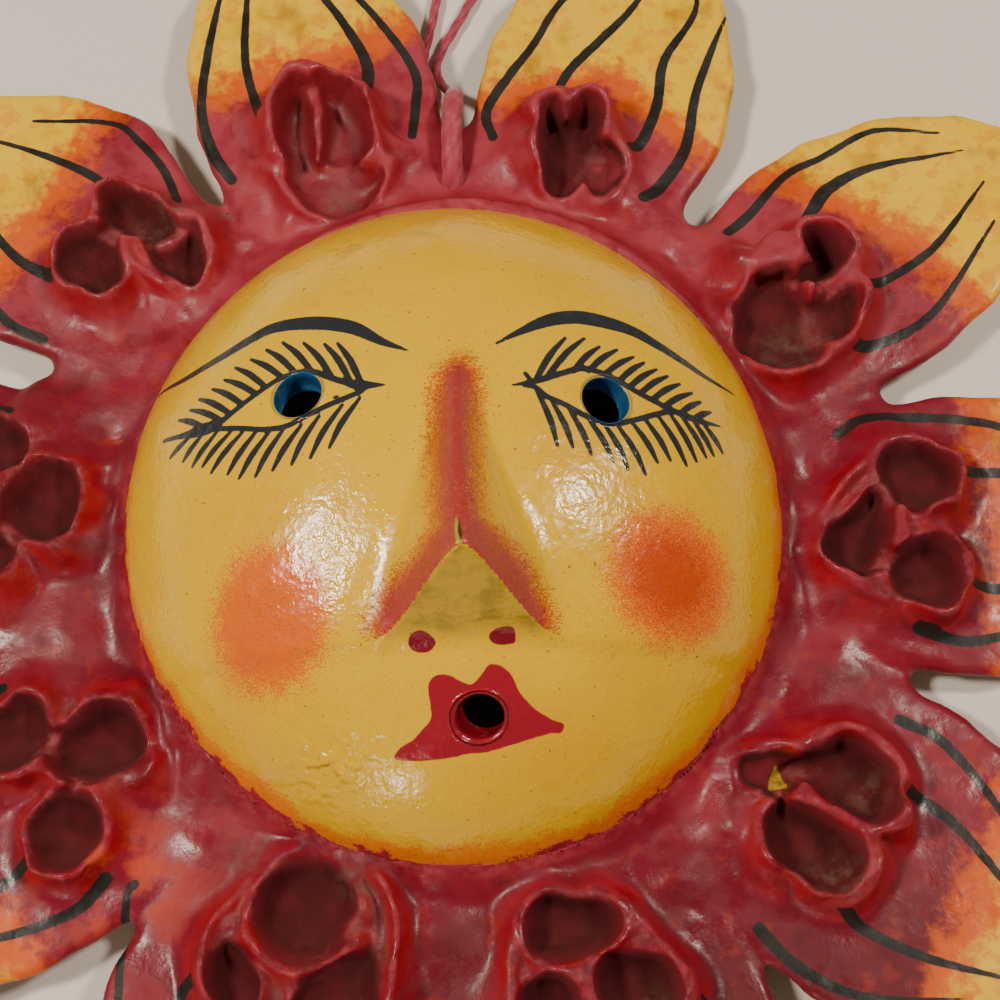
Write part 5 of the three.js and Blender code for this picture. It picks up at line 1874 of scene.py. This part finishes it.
    def vein_gap(self, points: np.ndarray) -> np.ndarray:
        """How far each point is outside the charcoal veins, which are drawn on the front of the rays only.

        Args:
            points: The collar's points.

        Returns:
            One distance for each point.
        """
        gap = np.full(len(points), NO_PAINT)
        for ray in self.rays:
            along, across = ray.local(points[:, :2])
            rise = points[:, 2] - ray.blade(along, across)[0]
            on_ray = (along > self.ray_root) & (np.abs(across) < ray.half + 6.0)
            mine = np.flatnonzero(on_ray & (rise > -0.2) & (rise < 6.0))
            spot = np.stack([along[mine], across[mine]], axis=1)
            for stroke in ray.veins:
                gap[mine] = np.minimum(gap[mine], stroke_gap(spot, curve_through(stroke, 5)))
        return gap

    def warmth(self, xy: np.ndarray) -> np.ndarray:
        """How far out on its ray each place is beyond the red, below 0 in it.

        Args:
            xy: Places, n by 2.

        Returns:
            One distance for each place.
        """
        warm = np.full(len(xy), -40.0)
        for ray in self.rays:
            along, across = ray.local(xy)
            mine = np.flatnonzero((along > 60.0) & (np.abs(across) < ray.half + 6.0))
            red = np.interp(across[mine] / ray.half, (-0.9, 0.0, 0.9), ray.red)
            warm[mine] = np.maximum(warm[mine], along[mine] - red)
        return warm

    def depths(self, points: np.ndarray, slope: np.ndarray) -> tuple[np.ndarray, np.ndarray]:
        """How far each point belongs to the inside of a cup, and how deep it is there, for the cup's painted shade.

        Args:
            points: The collar's points.
            slope: The outward direction at each.

        Returns:
            The two numbers for each point, from 0 to 1.
        """
        xy, z = points[:, :2], points[:, 2]
        sunk, within = np.zeros((2, len(points)))
        for hollow in self.hollows:
            loop = hollow.loop
            centre = loop.mean(axis=0)
            near = np.flatnonzero(np.linalg.norm(xy - centre, axis=1) < 16.0)
            gap = loop_gap(hollow.upright(xy[near], z[near] - self.mouth_height), loop)
            facing = (slope[near, :2] * unit(centre - xy[near])).sum(axis=1)
            wall = smooth(1.6, 0.7, gap) * smooth(0.2, 0.6, facing)
            below = smooth(hollow.rim - 1.4, hollow.rim - 3.2, z[near])
            sill = smooth(2.4, 1.2, gap) * smooth(-0.35, 0.1, facing) * below
            inside = np.maximum(smooth(0.3, -0.9, gap), np.maximum(wall, 0.75 * sill))
            deep = smooth(hollow.rim - 1.0, hollow.floor + 3.6, z[near])
            within[near] = np.maximum(within[near], inside * (0.35 + 0.65 * hollow.dark))
            sunk[near] = np.maximum(sunk[near], inside * deep * hollow.dark)
        return within, sunk

    def dust(self, points: np.ndarray, slope: np.ndarray, within: np.ndarray, sunk: np.ndarray) -> np.ndarray:
        """Dust in the folds that face the forehead, where there is little open space, and in a few drifts.

        Args:
            points: The collar's points.
            slope: The outward direction at each.
            within: How far each belongs to the inside of a cup.
            sunk: How deep each is in one.

        Returns:
            How dusty each point is.
        """
        closed = np.zeros(len(points))
        for reach in (1.6, 3.2):
            closed += 0.5 * (1.0 - np.clip(self.block.sample(points + slope * reach) / reach, 0.0, 1.0))
        crevice = smooth(0.22, 0.62, closed) * smooth(-0.2, 0.5, slope[:, 2])
        lying = smooth(-0.15, 0.55, slope[:, 1])
        dust = 0.8 * crevice * (0.3 + 0.7 * lying) * (1.0 - 0.6 * within) + 0.08 * sunk * lying
        for drift in self.dusty:
            dust += 0.75 * hill(points, *drift)
        return np.clip(dust, 0.0, 1.0)

    def paint(self, points: np.ndarray, slope: np.ndarray) -> dict[str, np.ndarray]:
        """The veins, the ray colours, the painted shade of the hollows and the lower left, the painted light above, on
        steep walls and on thin rims, the dust and the bare back, for the enamel to read.

        Args:
            points: The collar's points.
            slope: The outward direction at each.

        Returns:
            The notes, by name.
        """
        (x, y, z), up = points.T, slope[:, 2]
        xy = points[:, :2]
        front = smooth(-0.25, 0.15, up)
        warm = self.warmth(xy)
        vein = self.vein_gap(points)
        for hollow in self.hollows:
            near = np.flatnonzero(np.linalg.norm(xy - np.mean(hollow.mouth, axis=0), axis=1) < 14.0)
            vein[near] = np.maximum(vein[near], 1.4 - loop_gap(xy[near], np.array(hollow.mouth)))
        within, sunk = self.depths(points, slope)
        # Painted shade, towards the lower left on the flatter parts.
        low = smooth(-48.0, -72.0, y) * smooth(-44.0, -28.0, x) * smooth(0.7, 0.92, up)
        thin = smooth(-0.7, -0.4, self.block.sample(points - slope * 0.9)) * smooth(11.0, 12.5, z)
        return {
            "back": (1.0 - front) * smooth(11.0, 8.5, z),
            "vein": vein,
            "warm": warm,
            # Painted light: paler towards the top, on the red part.
            "painted_top_light": smooth(15.0, 62.0, y) * smooth(8.0, -4.0, warm),
            "low": np.maximum(low, 0.6 * smooth(-52.0, -66.0, x) * smooth(-45.0, -30.0, y)),
            "smeared": hill(xy, -55.0, -62.0, 11.0),
            # Painted shade inside the cups: how deep a point lies in one, and how far within it.
            "hollow": sunk,
            "within": within,
            # Painted light on the steep outer walls.
            "wall": smooth(0.92, 0.5, up) * smooth(8.0, 9.5, z) * (1.0 - within),
            # Painted highlight along the thin rims.
            "rim": thin * smooth(0.3, 0.75, up),
            "dust": self.dust(points, slope, within, sunk) * front,
            "chip": nearest([loop_gap(xy, np.array(self.flake))]),
        }


# ---------------------------------------------------------------- the cord


@dataclass
class HangingCord:
    """The loop of pink string, from the hole in the collar round and back to it, with its knot behind."""

    diameter: float = 2.2
    points: tuple[tuple[float, float, float], ...] = (
        (-3.9, 68.4, 1.5), (-6.2, 70.4, 1.4), (-8.6, 74.4, 1.3), (-9.4, 80, 1.25), (-9.0, 87, 1.2), (-8.0, 94, 1.2),
        (-6.8, 101, 1.2), (-5.6, 107, 1.2), (-4.7, 112.4, 1.2), (-4.1, 117, 1.2), (-3.2, 121.4, 1.2),
        (-0.4, 124.6, 1.2), (3.6, 124.4, 1.2), (5.9, 121.2, 1.2), (4.9, 117.4, 1.2), (2.6, 113.4, 1.2),
        (0.2, 108.6, 1.2), (-2.4, 103.6, 1.2), (-4.2, 99.2, 1.2), (-4.2, 95.4, 1.4), (-2.4, 92.0, 2.6),
        (-0.8, 89.4, 5.4), (-0.6, 87.0, 9.0), (-0.8, 84.2, 11.6), (-1.0, 80.4, 12.6), (-1.0, 76.0, 12.6),
        (-0.9, 72, 12.0), (-0.8, 68.8, 10.2), (-0.8, 67.4, 7.2), (-0.8, 67.2, 3.9),
    )
    lay: float = 14.0  # the length in which the yarns turn once
    sides: int = 24
    knot_steps: int = 160
    knot_middle: tuple[float, float, float] = (-0.8, 67.2, 1.75)
    knot_size: float = 0.62
    knot_height: float = 0.55
    knot_radius: float = 0.86

    def lobes(self, turn: np.ndarray) -> np.ndarray:
        """The outline of three yarns twisted together: 1 on a yarn and 0 in the groove beside it."""
        sides = np.linspace(0, TURN, self.sides, endpoint=False)
        return np.abs(np.cos(1.5 * (sides[None, :] - turn[:, None])))

    def twist(self, bench: Workbench, path: np.ndarray, run: np.ndarray) -> bpy.types.Mesh:
        """The string, carried along its path, and thicker where it is seen over the collar.

        Args:
            bench: Where the mesh is made.
            path: The centreline.
            run: How far along the string each of its points is.

        Returns:
            The mesh.
        """
        lobe = self.lobes(TURN * run / self.lay)
        front = smooth(run[-1] - 34.0, run[-1] - 22.0, run)
        size = 0.92 + 1.05 * front * smooth(run[-1] - 0.5, run[-1] - 6.0, run)
        front = front[:, None]
        radii = size[:, None] * (0.84 + 0.08 * front + (0.2 - 0.1 * front) * lobe)
        mesh = bench.mesh("string", *tube(path, radii, closed=False))
        # How much painted shade each groove takes, less where the string is seen over the collar.
        groove = smooth(0.5, 0.05, lobe) * (0.8 - 0.4 * front)
        bench.note(mesh, {"groove": np.append(groove.ravel(), [0.5, 0.5])})
        return mesh

    def knot(self, bench: Workbench) -> bpy.types.Mesh:
        """The knot: the same string along a trefoil, whose x and y go round once and, back, twice as fast.

        Args:
            bench: Where the mesh is made.

        Returns:
            The mesh.
        """
        t = np.linspace(0, TURN, self.knot_steps, endpoint=False)
        x, y, z = self.knot_middle
        path = [
            x + self.knot_size * (np.sin(t) + 2 * np.sin(2 * t)),
            y + self.knot_size * (np.cos(t) - 2 * np.cos(2 * t)),
            z - self.knot_height * np.sin(3 * t),
        ]
        lobe = self.lobes(8 * t)
        mesh = bench.mesh("knot", *tube(np.stack(path, axis=1), self.knot_radius * (0.84 + 0.2 * lobe), closed=True))
        bench.note(mesh, {"groove": smooth(0.5, 0.05, lobe.ravel()) * 0.8})
        return mesh

    def build(self, bench: Workbench) -> bpy.types.Object:
        """Makes the string and its knot.

        Args:
            bench: Where the meshes are put into the scene.

        Returns:
            The string's object.
        """
        path = curve_through(self.points, 12)
        run = np.concatenate([[0.0], np.cumsum(np.linalg.norm(np.diff(path, axis=0), axis=1))])
        cotton = CottonCord().material()
        string = bench.piece("twisted_string", self.twist(bench, path, run), "hanging_cord", "pink_cord", cotton)
        knot = bench.piece("string_knot", self.knot(bench), "cord_knot", "pink_cord", cotton)
        return string


# ---------------------------------------------------------------- camera, floor and light


@dataclass(frozen=True)
class SoftLight:
    """One square soft box, by the direction it shines from, its distance and size in metres, and its power."""

    name: str
    way: tuple[float, float, float]
    distance: float
    size: float
    watts: float
    colour: str = "#FFF4E4"

    def place(self, target: Vector) -> None:
        """Hangs the light and turns it to the target.

        Args:
            target: The middle of the face, in metres.
        """
        data = bpy.data.lights.new(self.name, "AREA")
        data.shape = "SQUARE"
        data.size = self.size
        data.energy = self.watts
        data.color = linear(self.colour)[:3]
        obj = add_object(self.name, data)
        way = Vector(self.way).normalized()
        obj.location = target + way * self.distance
        obj.rotation_euler = way.to_track_quat("Z", "Y").to_euler()


@dataclass(frozen=True)
class Studio:
    """The camera, a pale floor and soft lights."""

    eye: tuple[float, float, float] = (8.11, -98.33, 327.85)
    pitch: float = 18.0  # degrees below the face's normal
    lens: float = 67.595
    sensor: float = 36.0
    face_height: float = 30.0
    floor_half: float = 1.6
    floor_drop: float = 0.0002
    board: str = "#F2E8DF"
    sky: str = "#F8ECDC"
    ambient: float = 0.14
    lights: tuple[SoftLight, ...] = (
        SoftLight("left_box", (-0.58, -0.05, 0.81), 0.85, 0.12, 5.5),
        SoftLight("right_box", (0.59, 0.18, 0.79), 0.95, 0.12, 4.9),
        SoftLight("chin_box", (-0.27, -0.93, 0.24), 0.90, 0.07, 0.85),
    )

    def camera(self, bench: Workbench) -> None:
        """Sets the camera where the photo was taken from.

        Args:
            bench: The bench, which knows where the frame is.
        """
        data = bpy.data.cameras.new("view")
        data.sensor_width = self.sensor
        data.lens = self.lens
        data.clip_start = 0.01
        obj = add_object("view", data)
        obj.location = bench.metres(np.array(self.eye))
        obj.rotation_euler = (math.radians(self.pitch), 0.0, 0.0)
        bpy.context.scene.camera = obj

    def dress(self, bench: Workbench) -> None:
        """Lays the floor and hangs the lights.

        Args:
            bench: The bench, which knows where the frame is.
        """
        half = self.floor_half
        mesh = bpy.data.meshes.new("floor")
        corners = [(-half, -half), (half, -half), (half, half), (-half, half)]
        mesh.from_pydata([(x, y, -self.floor_drop) for x, y in corners], [], [(0, 1, 2, 3)])
        floor = add_object("floor", mesh)
        job = Paintwork("matt_pale_board", self.board)
        mesh.materials.append(job.finish(0.8, job.grain(3.0), 0.02, 1.45))
        world = bpy.data.worlds.new("room")
        bpy.context.scene.world = world
        world.use_nodes = True
        background = world.node_tree.nodes["Background"]
        background.inputs["Color"].default_value = linear(self.sky)
        background.inputs["Strength"].default_value = self.ambient
        target = Vector(bench.metres(np.array([0.0, 0.0, self.face_height])))
        for light in self.lights:
            light.place(target)


def main() -> None:
    """Loads the frame, builds the camera, the cord, the shell and the collar, and lays the floor and the lights."""
    logging.basicConfig(level=logging.INFO, format="%(name)s %(message)s")
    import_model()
    low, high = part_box("coconut_face")
    bench = Workbench(((low[0] + high[0]) / 2.0 / MM, (low[1] + high[1]) / 2.0 / MM))
    studio = Studio()
    studio.camera(bench)
    HangingCord().build(bench)
    FaceShell().build(bench)
    Collar().build(bench)
    studio.dress(bench)


if __name__ == "__main__":
    main()
